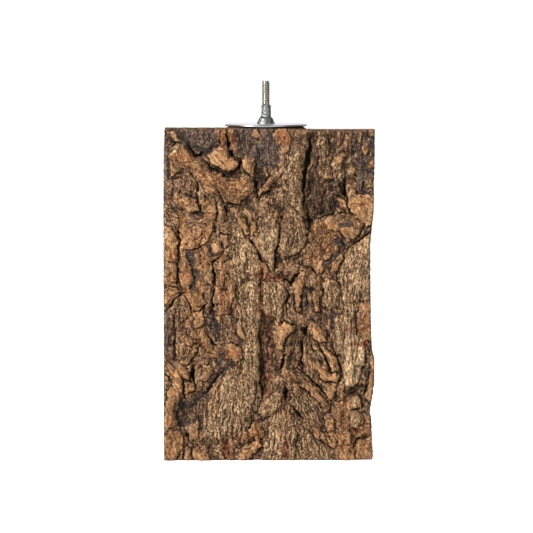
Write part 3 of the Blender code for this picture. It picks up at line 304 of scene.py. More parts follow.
# Cracks and grooves: width in mm, depth in mm, points along each one.
FISSURES = [
    (4.0, 4.0, [(-74, 234), (-70, 239), (-66, 240)]),
    (6.0, 5.0, [(-60, 236), (-54, 230), (-47, 231)]),
    (4.0, 5.0, [(-31, 251), (-31, 242), (-29, 233), (-26, 226)]),
    (5.0, 6.0, [(-22, 232), (-21, 225), (-24, 218), (-32, 215)]),
    (3.0, 3.0, [(-52, 226), (-43, 220), (-33, 215), (-22, 211)]),
    (6.0, 6.0, [(-12, 216), (-10, 207), (-10, 200)]),
    (2.4, 2.4, [(-39, 205), (-37, 202), (-37, 199)]),
    (2.2, 2.4, [(-8, 195), (0, 202), (6, 209), (12, 215)]),
    (2.0, 2.4, [(-22, 190), (-17, 180), (-13, 171)]),
    (4.0, 2.0, [(-7, 216), (-4, 208)]),
    (3.0, 4.0, [(-55, 214), (-53, 206), (-54, 197), (-52, 189)]),
    (3.0, 3.0, [(-74, 212), (-68, 211), (-65, 213)]),
    (4.0, 2.5, [(-73, 191), (-66, 189)]),
    (3.5, 4.0, [(-34, 194), (-31, 188), (-32, 182)]),
    (2.8, 3.5, [(-66, 181), (-67, 172), (-68, 160)]),
    (3.0, 3.5, [(-68, 158), (-69, 146), (-67, 135), (-66, 127)]),
    (2.4, 3.0, [(-50, 169), (-52, 160), (-50, 150)]),
    (6.0, 2.0, [(-59, 156), (-58, 148)]),
    (5.0, 2.0, [(-55, 142), (-57, 133)]),
    (4.0, 2.5, [(-45, 161), (-42, 153)]),
    (4.0, 6.0, [(-36, 155), (-42, 149), (-40, 140), (-41, 131)]),
    (4.0, 7.0, [(-41, 131), (-42, 121), (-42, 108)]),
    (4.0, 3.0, [(-38, 129), (-33, 128)]),
    (1.8, 2.2, [(-27, 103), (-23, 95), (-20, 88)]),
    (1.8, 2.2, [(-24, 127), (-19, 134), (-13, 136), (-7, 134)]),
    (2.6, 3.0, [(-60, 129), (-68, 125), (-74, 116), (-80, 112)]),
    (2.4, 2.5, [(-64, 126), (-58, 115), (-56, 102)]),
    (2.8, 3.5, [(-57, 111), (-51, 115), (-44, 121)]),
    (3.5, 4.0, [(-72, 112), (-70, 97), (-71, 86), (-70, 77)]),
    (6.0, 3.0, [(-73, 77), (-67, 75)]),
    (2.8, 3.0, [(-69, 68), (-65, 60), (-63, 48), (-62, 42)]),
    (5.5, 6.0, [(-58, 77), (-58, 67), (-55, 56)]),
    (6.0, 3.0, [(-45, 95), (-42, 89), (-36, 86)]),
    (7.0, 2.5, [(-43, 80), (-37, 75)]),
    (4.5, 2.6, [(-32, 70), (-38, 64), (-45, 54), (-52, 47)]),
    (3.0, 3.5, [(-65, 26), (-61, 18), (-60, 9)]),
    (5.0, 4.5, [(-64, 9), (-64, 3)]),
    (2.8, 3.0, [(-58, -1), (-57, 9), (-52, 12)]),
    (4.5, 5.5, [(-31, 14), (-30, 3)]),
    (4.0, 5.0, [(-16, 172), (-10, 159), (-5, 150), (0, 144)]),
    (1.9, 1.9, [(-5, 150), (-6, 136), (-6, 122), (-8, 112)]),
    (2.4, 2.8, [(-7, 110), (-6, 96), (-7, 84), (-5, 77)]),
    (3.6, 5.0, [(-6, 76), (-6, 62), (-5, 52), (-8, 39)]),
    (3.5, 4.0, [(-9, 37), (-5, 31)]),
    (3.5, 3.5, [(-11, 33), (-14, 29), (-16, 21)]),
    (6.0, 6.0, [(12, 191), (9, 181)]),
    (3.6, 4.5, [(8, 180), (7, 166), (5, 152), (4, 143)]),
    (6.5, 7.0, [(32, 243), (30, 233), (27, 222), (25.5, 206), (26, 190)]),
    (8.0, 4.0, [(32, 244), (31, 233)]),
    (9.0, 7.0, [(27, 186), (31, 174)]),
    (3.0, 2.5, [(42, 249), (45, 240), (45, 230)]),
    (6.0, 6.0, [(57, 214), (56, 204), (59, 193)]),
    (6.0, 3.0, [(70, 213), (70, 203)]),
    (3.5, 3.0, [(33, 180), (43, 184), (50, 187), (60, 185)]),
    (7.0, 2.5, [(53, 166), (57, 162)]),
    (2.6, 3.2, [(77, 173), (70, 167), (59, 161), (54, 148), (49, 138)]),
    (5.0, 4.0, [(49, 138), (54, 132)]),
    (4.0, 4.0, [(23, 147), (30, 146), (37, 140)]),
    (5.0, 4.5, [(10, 137), (17, 133), (19, 138), (24, 141)]),
    (5.0, 3.0, [(15, 131), (14, 120), (13, 109)]),
    (2.4, 2.6, [(40, 136), (40, 127), (39, 116)]),
    (5.5, 4.0, [(29, 129), (28, 117)]),
    (1.8, 2.0, [(20, 120), (37, 120)]),
    (9.0, 8.0, [(28, 101), (26, 95)]),
    (3.6, 6.5, [(25, 96), (24, 88), (25, 78), (25, 69)]),
    (2.6, 3.5, [(24, 101), (15, 93), (10, 84)]),
    (4.0, 4.0, [(30, 97), (37, 89), (42, 76), (48, 66)]),
    (5.0, 5.5, [(12, 82), (10, 73), (10, 66)]),
    (3.5, 5.0, [(25, 69), (31, 61), (41, 53), (46, 45)]),
    (3.0, 3.0, [(14, 64), (26, 54), (34, 46)]),
    (6.5, 8.5, [(12, 58), (12.5, 50), (14, 43)]),
    (6.0, 3.0, [(15, 42), (21, 37), (28, 28)]),
    (2.4, 3.0, [(26, 24), (34, 18), (44, 11), (52, 7)]),
    (3.5, 4.5, [(46, 96), (49, 84), (53, 74), (54, 64)]),
    (6.0, 3.0, [(46, 111), (47, 102)]),
    (2.4, 2.6, [(70, 121), (66, 111), (65, 101), (68, 93), (66, 80), (65, 71), (64, 57)]),
    (3.0, 3.0, [(75, 76), (76, 65), (73, 56), (72, 46)]),
    (2.2, 2.5, [(46, 22), (57, 24)]),
    (2.8, 2.5, [(45, 38), (47, 44), (51, 45)]),
    (5.5, 6.0, [(71, 18), (67, 16), (64, 11)]),
    (2.2, 2.0, [(56, 12), (62, 12)]),
    (1.3, 1.4, [(-49, 127), (-45, 122), (-43, 118)]),
    (1.6, 2.0, [(31, 94), (37, 84), (44, 72)]),
    (1.9, 1.8, [(40, 161), (41, 166), (45, 169)]),
    (1.9, 2.2, [(24, 101), (20, 97), (16, 94), (14, 90), (12, 86), (10, 84)]),
    (2.0, 2.0, [(-44, 80), (-43, 77), (-47, 76)]),
    (2.0, 2.2, [(29, 94), (33, 84), (39, 73)]),
    (2.0, 2.4, [(13, 44), (12, 38), (13, 30), (13, 14), (12, 3)]),
]

# Fine cracks of one width and one depth in mm, with the points along each of them.
FINE_CRACKS = [
    (1.0, 1.2, [
        [(-76, 160), (-72, 160)], [(-22, 130), (-18, 134), (-15, 135)]]),
    (1.2, 1.2, [
        [(-53, 74), (-49, 73)], [(-50, 38), (-51, 30), (-51, 20)], [(-44, 30), (-43, 22)],
        [(-38, 28), (-38, 20)], [(27, 25), (31, 21), (35, 18)], [(43, 36), (42, 30), (43, 22)],
        [(49, 34), (50, 28), (50, 23)], [(60, 34), (60, 24), (62, 20)], [(67, 8), (67, 0)],
        [(56, 38), (58, 36)]]),
    (1.2, 1.4, [
        [(-70, 234), (-65, 230)], [(-52, 223), (-50, 221), (-46, 220)],
        [(-50, 194), (-47, 197), (-45, 198)], [(-72, 138), (-69, 136)], [(-73, 149), (-69, 149)],
        [(-34, 76), (-31, 75)], [(-60, 42), (-55, 41), (-50, 41)], [(-61, 21), (-55, 21)]]),
    (1.4, 1.3, [
        [(5, 34), (5, 18), (4, 5)], [(21, 30), (22, 16), (22, 2)]]),
    (1.4, 1.4, [
        [(-29, 194), (-22, 193)], [(-40, 171), (-42, 166), (-44, 164)], [(-67, 107), (-65, 104)],
        [(-79, 65), (-75, 63), (-71, 61)], [(-54, 86), (-56, 80), (-58, 76)],
        [(-64, 79), (-59, 85), (-56, 90)], [(-49, 9), (-46, 6), (-44, 3)],
        [(-44, 12), (-41, 8), (-38, 5), (-35, 2)], [(-53, 17), (-49, 15), (-47, 17)],
        [(-34, 20), (-32, 17), (-29, 16), (-27, 18)], [(53, 172), (52, 168)], [(74, 156), (73, 151)],
        [(0, 110), (-3, 107), (-4, 104)], [(18, 71), (22, 71)], [(9, 38), (9, 24), (8, 6)],
        [(16, 40), (17, 24), (16, 5)], [(47, 39), (51, 43)]]),
    (1.5, 1.5, [
        [(-50, 88), (-47, 85), (-44, 81), (-40, 80)], [(-29, 75), (-31, 71), (-33, 68)],
        [(64, 156), (65, 153), (64, 149), (65, 145)], [(53, 120), (52, 115)]]),
    (1.6, 1.6, [
        [(-59, 213), (-57, 216), (-55, 215)], [(-72, 204), (-72, 197), (-71, 193)],
        [(-69, 194), (-65, 191), (-62, 188)], [(-33, 148), (-31, 143)], [(-45, 54), (-42, 57), (-39, 58)],
        [(-70, 1), (-67, 4), (-66, 2)], [(66, 225), (69, 220), (71, 216)], [(73, 215), (76, 217)],
        [(50, 203), (53, 199), (56, 195), (59, 191)], [(20, 156), (23, 155), (25, 159)],
        [(25, 169), (29, 170)], [(40, 155), (43, 160), (47, 165)], [(33, 163), (36, 170)],
        [(69, 134), (70, 128)], [(45, 14), (47, 6), (49, 2)], [(74, 30), (73, 25)],
        [(42, 96), (43, 92), (44, 87), (46, 85)], [(57, 47), (56, 43), (57, 39)]]),
    (1.6, 1.8, [
        [(25, 96), (20, 86), (15, 74)], [(26, 94), (22, 82), (19, 72)], [(27, 92), (29, 82), (32, 74)]]),
]

# Growth lines beside a path: spacing in mm, reach in mm, strength, points along the path.
GROWTH = [
    (2.3, 9.0, 1.7, [(12, 56), (13, 32), (13, -2)]),
    (2.6, 9.0, 1.1, [(24, 50), (34, 24), (46, -2)]),
    (2.6, 8.0, 1.2, [(-50, 44), (-52, 26), (-50, 12)]),
    (3.2, 12.0, 1.3, [(-38, 54), (-42, 34), (-40, 14)]),
    (3.6, 10.0, 1.0, [(-25, 60), (-22, 30), (-20, 14)]),
    (3.4, 9.0, 1.0, [(-18, 136), (-15, 100), (-14, 66)]),
    (2.6, 7.0, 1.4, [(2, 134), (3, 110)]),
    (3.0, 9.0, 1.1, [(62, 160), (60, 130), (60, 100), (62, 60)]),
    (3.0, 8.0, 0.8, [(16, 188), (20, 168), (14, 150)]),
    (2.8, 7.0, 0.8, [(0, 182), (-1, 166), (3, 146)]),
    (2.8, 8.0, 0.8, [(34, 246), (35, 220), (33, 190)]),
    (3.0, 7.0, 0.6, [(16, 232), (18, 212), (14, 194)]),
    (2.1, 8.0, 1.2, [(-73, 232), (-54, 222), (-37, 211), (-16, 204)]),
    (2.2, 6.0, 1.0, [(-46, 232), (-34, 222), (-26, 222)]),
    (2.4, 9.0, 0.9, [(-74, 180), (-60, 176), (-46, 180), (-42, 168)]),
    (2.2, 7.0, 1.1, [(60, 204), (72, 192), (80, 186)]),
    (2.2, 7.0, 1.1, [(38, 158), (46, 172), (58, 180), (68, 178)]),
    (3.0, 8.0, 1.0, [(29, 148), (38, 158), (50, 168)]),
    (2.2, 5.0, 1.1, [(16, 66), (30, 58), (44, 44)]),
    (2.2, 6.0, 1.0, [(-66, 128), (-58, 112), (-52, 96), (-40, 84), (-22, 80)]),
    (2.4, 6.0, 0.9, [(-34, 164), (-30, 140), (-32, 112)]),
    (2.2, 6.0, 1.0, [(-79, 76), (-70, 62), (-68, 46), (-74, 28)]),
]

# Fans of growth lines: degrees from line to line, first and last turn from straight down,
# nearest and farthest distance in mm, the point they spread from.
FANS = [
    (7.0, -38.0, 42.0, 8.0, 48.0, (27, 112)),
    (3.0, -14.0, 34.0, 14.0, 78.0, (13, 78)),
    (3.8, -24.0, 16.0, 20.0, 66.0, (-22, 80)),
]

# Stains and painted marks: reach in mm, strength, points along them. RUST is a rust stain; the others are
# painted light and shade.
RUST = [
    (2.8, 1.3, [(-35, 237), (-35, 244)]),
    (3.4, 1.4, [(-28, 237), (-27, 243)]),
    (2.8, 1.2, [(-31, 243), (-31, 249)]),
    (3.0, 0.7, [(-5, 136), (-5, 150)]),
    (2.2, 0.7, [(-8, 112), (-5, 134)]),
    (2.8, 1.0, [(-4, 66), (-3, 50)]),
    (6.0, 0.3, [(0, 98), (0, 60)]),
    (4.0, 0.8, [(-31, 14), (-31, 10), (-30, 3)]),
    (4.0, 0.5, [(-25, 19), (-10, 17)]),
    (3.0, 1.3, [(12, 13), (12, 4)]),
    (2.0, 0.4, [(11, 36), (11, 8)]),
    (7.0, 0.3, [(12, 38), (12, 4)]),
    (2.6, 1.3, [(57, 99), (66, 98), (75, 100)]),
    (2.6, 1.3, [(62, 88), (76, 88)]),
    (3.0, 0.9, [(76, 20), (76, 25)]),
    (3.0, 0.5, [(9, 182), (9, 190)]),
    (4.0, 0.8, [(-9, 140), (2, 138), (13, 137)]),
    (4.0, 0.8, [(-8, 112), (2, 108)]),
    (5.0, 0.6, [(8, 246), (12, 240)]),
    (4.0, 0.5, [(-30, 84), (-24, 80)]),
    (3.0, 0.5, [(54, 172), (59, 171)]),
    (3.5, 0.4, [(-62, 150), (-61, 136)]),
    (4.5, 0.6, [(-37, 139), (-36, 132)]),
    (4.5, 0.5, [(-35, 124), (-34, 114)]),
]
# Painted shade, blue-grey, along shallow fissures and hollows.
FISSURE_SHADE = [
    (5.0, 1.4, [(-59, 156), (-58, 149)]),
    (4.5, 1.3, [(-55, 142), (-57, 132)]),
    (3.5, 0.9, [(-45, 162), (-43, 156), (-41, 152)]),
    (2.6, 0.8, [(-36, 151), (-36, 149)]),
    (2.8, 0.8, [(-39, 124), (-38, 115)]),
    (4.0, 0.7, [(-58, 186), (-53, 183)]),
    (6.0, 1.3, [(-46, 105), (-42, 103), (-39, 101)]),
    (3.5, 0.8, [(-37, 82), (-36, 78), (-38, 72)]),
    (3.8, 1.2, [(-66, 45), (-69, 40), (-70, 34), (-68, 29), (-65, 27)]),
    (3.5, 0.8, [(-65, 27), (-58, 30)]),
    (3.6, 1.3, [(-33, 69), (-40, 61), (-46, 53), (-53, 46), (-60, 42), (-67, 40)]),
    (4.5, 0.9, [(51, 166), (56, 162)]),
    (3.6, 0.9, [(42, 148), (51, 156)]),
    (3.5, 0.9, [(54, 177), (61, 178)]),
    (3.6, 0.9, [(26, 128), (28, 124), (27, 117)]),
    (3.5, 0.7, [(47, 111), (47, 101)]),
    (5.5, 1.1, [(-66, 243), (-60, 238), (-54, 233), (-47, 231)]),
]

# Painted highlights: bright glint specks.
PAINTED_GLINTS = [
    (1.1, 1.0, [(54, 215), (55, 216)]),
    (1.1, 1.0, [(58, 225), (60, 225)]),
    (1.0, 1.0, [(-40, 89), (-38, 90)]),
    (1.2, 1.0, [(-42, 91), (-41, 93)]),
    (0.9, 1.0, [(0, 42), (0, 44)]),
    (0.9, 1.0, [(4, 214), (8, 219)]),
    (0.9, 0.9, [(22, 233), (17, 225), (13, 217)]),
    (1.0, 0.8, [(48, 206), (53, 210), (56, 219)]),
    (1.0, 0.8, [(-74, 229), (-68, 235)]),
    (1.0, 0.8, [(-33, 62), (-28, 65)]),
    (0.9, 1.0, [(50, 211), (53, 216)]),
    (0.9, 0.9, [(57, 212), (61, 219)]),
    (0.9, 0.9, [(60, 226), (64, 230)]),
    (0.9, 0.9, [(47, 221), (50, 225)]),
    (0.9, 0.9, [(66, 213), (68, 218)]),
    (0.9, 0.9, [(30, 197), (32, 200)]),
    (1.0, 0.9, [(-79, 166), (-76, 170)]),
]
# Painted shade: dark spots where small holes show, though the relief cuts none.
HOLE_SHADE = [
    (1.3, 1.0, [(-48, 153), (-47, 151)]),
    (1.1, 0.9, [(61, 186), (60, 189)]),
    (1.2, 0.9, [(65, 182), (66, 181)]),
    (1.2, 0.9, [(73, 181), (73, 180)]),
    (1.4, 1.0, [(-45, 103), (-44, 100)]),
    (1.3, 0.9, [(-37, 91), (-36, 89)]),
    (1.2, 0.9, [(36, 108), (38, 107)]),
    (1.5, 0.9, [(58, 112), (59, 109)]),
]


def noise_table(seed):
    """Random directions for the corners of the noise's cells, as cosines and sines."""
    turns = np.random.default_rng(seed).uniform(0.0, 2.0 * np.pi, (TABLE, TABLE))
    return np.cos(turns), np.sin(turns)


def noise(u, v, cell, seed):
    """Gradient noise from about -1 to 1, with cells of this many mm."""
    lean_u, lean_v = noise_table(seed)
    x = u / cell
    y = v / cell
    column = np.floor(x).astype(int)
    row = np.floor(y).astype(int)
    x = x - column
    y = y - row
    s = x * x * x * (x * (x * 6.0 - 15.0) + 10.0)
    t = y * y * y * (y * (y * 6.0 - 15.0) + 10.0)

    def corner(right, above):
        at = ((row + above) % TABLE, (column + right) % TABLE)
        return lean_u[at] * (x - right) + lean_v[at] * (y - above)

    low = corner(0, 0) * (1.0 - s) + corner(1, 0) * s
    high = corner(0, 1) * (1.0 - s) + corner(1, 1) * s
    return 1.6 * (low * (1.0 - t) + high * t)


def noisy(start, u, v, *layers):
    """The start plus layers of noise, each with a strength, a cell in mm and a seed."""
    for strength, cell, seed in layers:
        start = start + strength * noise(u, v, cell, seed)
    return start


def shards(u, v, cell, seed):
    """Irregular cells: room to the next cell, each cell's own number, and how its face leans there."""
    draw = np.random.default_rng(seed)
    point_u = draw.uniform(0.1, 0.9, (TABLE, TABLE))
    point_v = draw.uniform(0.1, 0.9, (TABLE, TABLE))
    number, lean_u, lean_v = draw.uniform(-1.0, 1.0, (3, TABLE, TABLE))
    x = u / cell
    y = v / cell
    column = np.floor(x).astype(int)
    row = np.floor(y).astype(int)
    nearest = np.full(np.shape(u), np.inf)
    second = np.full(np.shape(u), np.inf)
    own = np.zeros(np.shape(u))
    lean = np.zeros(np.shape(u))
    for above in (-1, 0, 1):
        for right in (-1, 0, 1):
            at = ((row + above) % TABLE, (column + right) % TABLE)
            du = x - column - right - point_u[at]
            dv = y - row - above - point_v[at]
            reach = np.hypot(du, dv)
            closer = reach < nearest
            second = np.where(closer, nearest, np.minimum(second, reach))
            own = np.where(closer, number[at], own)
            lean = np.where(closer, du * lean_u[at] + dv * lean_v[at], lean)
            nearest = np.minimum(nearest, reach)
    return second - nearest, own, lean


def smoothstep(low, high, value):
    """0 up to the low value, 1 from the high value on, and a smooth rise between them."""
    t = np.clip((value - low) / (high - low), 0.0, 1.0)
    return t * t * (3.0 - 2.0 * t)


def blurred(field, width):
    """The field averaged with a bell curve this many cells wide."""
    reach = int(math.ceil(2.5 * width))
    weights = np.exp(-0.5 * (np.arange(-reach, reach + 1) / width) ** 2)
    weights /= weights.sum()
    for axis in (1, 0):
        padding = [(0, 0), (0, 0)]
        padding[axis] = (reach, reach)
        padded = np.pad(field, padding, mode="edge")
        field = np.apply_along_axis(lambda line: np.convolve(line, weights, mode="valid"), axis, padded)
    return field


def distance_to_line(across, up, points, end_taper=0.0):
    """Distance in mm to a line through the points, and more near its ends where it has a taper."""
    nearest = np.full(across.shape, np.inf)
    last = len(points) - 2
    for index, ((u0, v0), (u1, v1)) in enumerate(zip(points, points[1:])):
        du = u1 - u0
        dv = v1 - v0
        along = ((across - u0) * du + (up - v0) * dv) / (du * du + dv * dv)
        along = np.clip(along, 0.0, 1.0)
        distance = np.hypot(across - u0 - along * du, up - v0 - along * dv)
        if index == 0:
            distance = distance + end_taper * (1.0 - along) ** 2
        if index == last:
            distance = distance + end_taper * along ** 2
        nearest = np.minimum(nearest, distance)
    return nearest


def depth_inside(across, up, outline):
    """Distance in mm to the outline: positive inside it, negative outside."""
    closed = outline + outline[:1]
    inside = np.zeros(across.shape, bool)
    for (u0, v0), (u1, v1) in zip(closed, closed[1:]):
        if v0 == v1:
            continue
        crosses = (up < max(v0, v1)) & (up >= min(v0, v1))
        crosses &= across < u0 + (up - v0) * (u1 - u0) / (v1 - v0)
        inside ^= crosses
    nearest = distance_to_line(across, up, closed)
    return np.where(inside, nearest, -nearest)


class Face:
    """The bark face on a grid: where each grid point is, and one layer of numbers for each trait."""

    KINDS = ("tan", "pale", "grey")

    def __init__(self, columns, rows):
        s, self.up = np.meshgrid(np.linspace(0.0, 1.0, columns + 1), np.linspace(0.0, TALL, rows + 1))
        left = -HALF_WIDTH + self.edge_inset(LEFT_EDGE, seed=91)
        right = HALF_WIDTH - self.edge_inset(RIGHT_EDGE, seed=92)
        self.across = left + (right - left) * s
        self.rim = np.minimum(np.minimum(self.across - left, right - self.across),
                              np.minimum(self.up, TALL - self.up))
        self.height = np.zeros(s.shape)
        self.layers = {kind: np.zeros(s.shape) for kind in self.KINDS}
        self.tint = np.zeros(s.shape)
        self.u = self.wander(self.across, 11)
        self.v = self.wander(self.up, 12)

    def edge_inset(self, run, seed):
        """How far a side edge lies in, in mm, with small chips."""
        ups, insets = zip(*run)
        chips = noisy(0.0, self.up, 0.0 * self.up, (1.0, 3.1, seed), (0.6, 1.3, seed + 5))
        return np.maximum(np.interp(self.up, ups, insets) - 0.1 + 0.35 * chips, 0.0)

    def wander(self, places, seed):
        """The places bent a little, so that no outline or crack runs straight."""
        return noisy(places, self.across, self.up,
                     (1.3, 9.0, seed), (0.8, 3.2, seed + 2), (0.35, 1.3, seed + 4))

    def window(self, points, margin):
        """The part of the grid within this margin of the points, as a pair of slices."""
        slices = []
        width = 2.0 * (HALF_WIDTH + 1.0)
        for axis, start, length, before, after in ((1, 0.0, TALL, 0, 2), (0, -0.5 * width, width, -4, 6)):
            places = [point[axis] for point in points]
            count = self.up.shape[1 - axis]
            first = int((min(places) - margin - start) / length * (count - 1)) + before
            last = int((max(places) + margin - start) / length * (count - 1)) + after
            slices.append(slice(max(0, first), min(count, last)))
        return tuple(slices)

    def paint(self, kind, share, tint, at):
        """Lays one kind of surface over what is there."""
        for name, layer in self.layers.items():
            layer[at] *= 1.0 - share
            if name == kind:
                layer[at] += share
        self.tint[at] += share * (tint - self.tint[at])

    def lay_fields(self):
        """Broad areas, each a step up or down with its own kind of surface."""
        for step, kind, tint, outline in FIELDS:
            at = self.window(outline, 8.0)
            inside = depth_inside(self.u[at], self.v[at], outline)
            self.height[at] += step * smoothstep(-3.0, 3.0, inside)
            self.paint(kind, smoothstep(-1.0, 1.0, inside), tint, at)

    def lay_plates(self):
        """Plates are shingles: joined to the bark on one side, lifted and broken on the other."""
        draw = np.random.default_rng(5)
        proud = np.zeros(self.height.shape)
        gutters = np.zeros(self.height.shape)
        self.near = np.full(self.height.shape, -7.0)
        for height, kind, tint, outline in PLATES:
            at = self.window(outline, 7.0)
            u = self.u[at]
            v = self.v[at]
            broken = noisy(0.0, u, v, (0.7, 3.4, 61), (0.45, 1.5, 62))
            inside = depth_inside(u, v, outline) + broken
            lift = self.lift(u, v, outline, draw.uniform(-1.9, 0.4))
            lower = smoothstep(-0.45, 0.25, inside)
            middle = smoothstep(0.6, 1.2, inside + 0.5 * broken)
            upper = smoothstep(1.8, 3.0, inside - 0.8 * broken)
            rise = height * lift * (0.55 * lower + 0.27 * middle + 0.18 * upper)
            lifted = smoothstep(0.35, 0.8, lift + 0.3 * noise(u, v, 6.0, 70))
            gutter = np.exp(-((inside + 0.9) / 0.55) ** 2) * lifted
            proud[at] = np.maximum(proud[at], rise)
            self.near[at] = np.maximum(self.near[at], inside)
            gutters[at] = np.maximum(gutters[at], gutter * (inside < 0.2))
            cover = 0.1 + lift + 0.45 * noise(u, v, 5.0, 69)
            self.paint(kind, np.clip(cover, 0.0, 1.0) * smoothstep(-1.0, 0.7, inside), tint, at)
        self.height += proud - 1.2 * gutters * (proud < 0.3)

    def lift(self, u, v, outline, turn):
        """A plate's lift, from its joined side at 0.35 to its free side, which faces this turn, at 1.1."""
        along = [math.cos(turn) * x + math.sin(turn) * y for x, y in outline]
        share = (math.cos(turn) * u + math.sin(turn) * v - min(along)) / (max(along) - min(along))
        return 0.35 + 0.75 * np.clip(share, 0.0, 1.0)

    def lump(self):
        """Lumps with sharp valleys, and small ledges, on every kind of surface, least on the plates."""
        u = self.across + 2.2 * noise(self.across, self.up, 13.0, 28)
        v = self.up + 2.2 * noise(self.across, self.up, 13.0, 29)
        calm = 1.0 - 0.45 * self.layers["tan"] - 0.4 * self.layers["pale"] - 0.3 * self.layers["grey"]
        broad = np.abs(noise(u, v / 1.6, 8.0, 24)) - 0.3
        narrow = np.abs(noise(u, v / 1.5, 3.9, 25)) - 0.3
        self.height += calm * (2.0 * broad + 0.6 * narrow)
        ledge = noisy(self.height / 0.8, u, v, (0.5, 5.0, 26), (0.25, 2.0, 27))
        share = ledge - np.floor(ledge)
        self.height += 0.4 * (smoothstep(0.3, 0.7, share) - share)
        self.band = np.cos(2.0 * np.pi * ledge)

    def add_texture(self):
        """Upright fibre on pale bark, broken flakes on dark bark, cracked shards on plates."""
        u = self.across
        v = self.up
        pale, tan, grey = [self.layers[kind] for kind in ("pale", "tan", "grey")]
        self.umber = np.clip(1.0 - pale - tan - grey, 0.0, 1.0)
        self.grit = noisy(0.0, u, v, (1.0, 1.5, 45), (0.5, 0.75, 46))
        self.bent_u = noisy(u, u, v, (1.4, 5.0, 63), (0.6, 2.0, 64))
        self.bent_v = noisy(v, u, v, (1.4, 5.0, 65), (0.6, 2.0, 66))
        self.drift = u + 1.8 * noise(u, v / 3.0, 9.0, 31) + 0.5 * noise(u, v / 2.5, 2.6, 32)
        self.fine_flake = 1.0 - 1.7 * np.abs(noise(self.u, v / 1.6, 1.7, 42))
        pale_tone, split = self.add_fibre(pale)
        umber_tone, chunk = self.add_flakes(grey)
        tan_tone, seam, swell = self.add_shards(tan, grey)
        grey_tone = grey * (0.3 * self.fine_flake + 0.3 * swell + 0.3 * chunk)
        pit = self.add_pits(tan, grey)
        line_tone = self.add_lines(pale, tan, grey)
        self.tone = umber_tone + tan_tone + pale_tone + grey_tone + line_tone
        self.seam = np.maximum(seam, 0.6 * pit) * (1.0 - pale - 0.5 * tan) + 0.3 * pale * split

    def add_fibre(self, pale):
        """Ribs, fibres, slits and split columns, all upright."""
        v = self.up
        rib = 1.0 - 1.6 * np.abs(noise(self.drift, v / 9.0, 3.0, 33))
        fibre = noise(self.drift, v / 3.0, 1.3, 34)
        stipple = noise(self.drift, v / 1.8, 1.0, 37)
        slit = smoothstep(0.38, 0.62, noise(self.drift, v / 9.0, 1.5, 35))
        slit = slit * smoothstep(-0.3, 0.3, noise(self.across, v, 9.0, 38))
        gap, column, _ = shards(self.drift, self.bent_v / 5.0, 3.0, 39)
        split = 1.0 - smoothstep(0.03, 0.16, gap)
        self.height += pale * (0.16 * (rib - 0.4) + 0.2 * fibre + 0.28 * stipple - 0.35 * slit)
        self.height += pale * (0.12 * column - 0.25 * split)
        return pale * (0.35 * (rib - 0.4) + 0.5 * fibre + 0.7 * stipple + 0.4 * column - 0.6 * slit), split

    def add_flakes(self, grey):
        """Two sizes of flake, slots between them, and broken chunks."""
        v = self.up
        flake = 1.0 - 1.7 * np.abs(noise(self.across, v / 2.0, 3.2, 41))
        slot = smoothstep(0.3, 0.6, noise(self.u, v / 3.2, 2.0, 43))
        _, chunk, lean = shards(self.bent_u, self.bent_v / 1.7, 4.6, 67)
        flakes = 0.25 * (flake - 0.4) + 0.35 * (self.fine_flake - 0.4)
        self.height += self.umber * (flakes - 0.5 * slot + 0.4 * self.grit)
        self.height += (self.umber + 0.4 * grey) * (0.25 * chunk + 0.45 * lean)
        return self.umber * (0.25 * flake + 0.35 * self.fine_flake + 0.35 * chunk - 0.5 * slot), chunk

    def add_shards(self, tan, grey):
        """Plates crack into shards, each at its own height and slope, with seams between them."""
        u = self.across
        v = self.up
        gap, own, lean = shards(self.bent_u, self.bent_v / 1.2, 8.0, 44)
        seam = (1.0 - smoothstep(0.02, 0.12, gap)) * smoothstep(-0.25, 0.25, noise(u, v, 8.0, 46))
        _, chip, chip_lean = shards(self.bent_u, self.bent_v, 3.4, 68)
        swell = noise(u, v, 3.6, 47)
        self.height -= (0.75 * tan + self.umber + 0.6 * grey) * 0.6 * seam
        self.height += tan * (0.25 * swell + 0.18 * self.fine_flake + 0.22 * self.grit)
        self.height += tan * (0.2 * own + 0.4 * lean + 0.12 * chip + 0.25 * chip_lean)
        return tan * (0.25 * own + 0.15 * chip + 0.2 * swell + 0.25 * self.fine_flake), seam, swell

    def add_pits(self, tan, grey):
        """Pits outside the pale bark, and the weathered grey's own roughness."""
        u = self.across
        v = self.up
        pit = smoothstep(0.5, 0.75, noise(u, v, 1.9, 48))
        self.height -= (self.umber + 0.4 * tan + grey) * 0.6 * pit
        rough = 0.3 * noise(u, v / 1.5, 3.4, 51)
        self.height += grey * (rough + 0.25 * self.fine_flake + 0.28 * self.grit)
        return pit

    def add_lines(self, pale, tan, grey):
        """Strands that run round the plates, and upright growth lines on pale bark."""
        u = self.across
        v = self.up
        wrap = smoothstep(-6.5, -2.0, self.near)
        place = noisy(self.near, u, v, (0.9, 5.0, 53), (0.4, 1.8, 54))
        strand = noise(place, (u + v) / 5.0, 1.25, 55)
        ridged = 0.5 - 1.4 * np.abs(noise(place, (u - v) / 6.0, 2.6, 56))
        lines = wrap * (0.7 * tan + 0.9 * self.umber + 0.3 * grey) * (0.4 * strand + 0.5 * ridged)
        growth = 1.0 - smoothstep(0.02, 0.13, np.abs(noise(self.drift, v / 8.0, 4.6, 57)))
        self.height += lines
        self.height -= 0.5 * pale * growth
        self.layers["grain"] = place
        self.layers["wrap"] = wrap * (1.0 - pale)
        return 1.3 * lines - 1.2 * pale * growth

    def add_growth(self):
        """Growth lines in parallel on both sides of each path, and fans of them below a point."""
        waves = np.zeros(self.height.shape)
        covered = np.zeros(self.height.shape)
        wobble = 0.35 * noise(self.across, self.up, 6.0, 58)

        def lay(at, steps, strength):
            phase = (steps + wobble[at]) % 1.0
            wave = strength * (0.5 - 1.6 * smoothstep(0.3, 0.04, np.abs(phase - 0.5)))
            waves[at] = np.where(strength > covered[at], wave, waves[at])
            covered[at] = np.maximum(covered[at], strength)

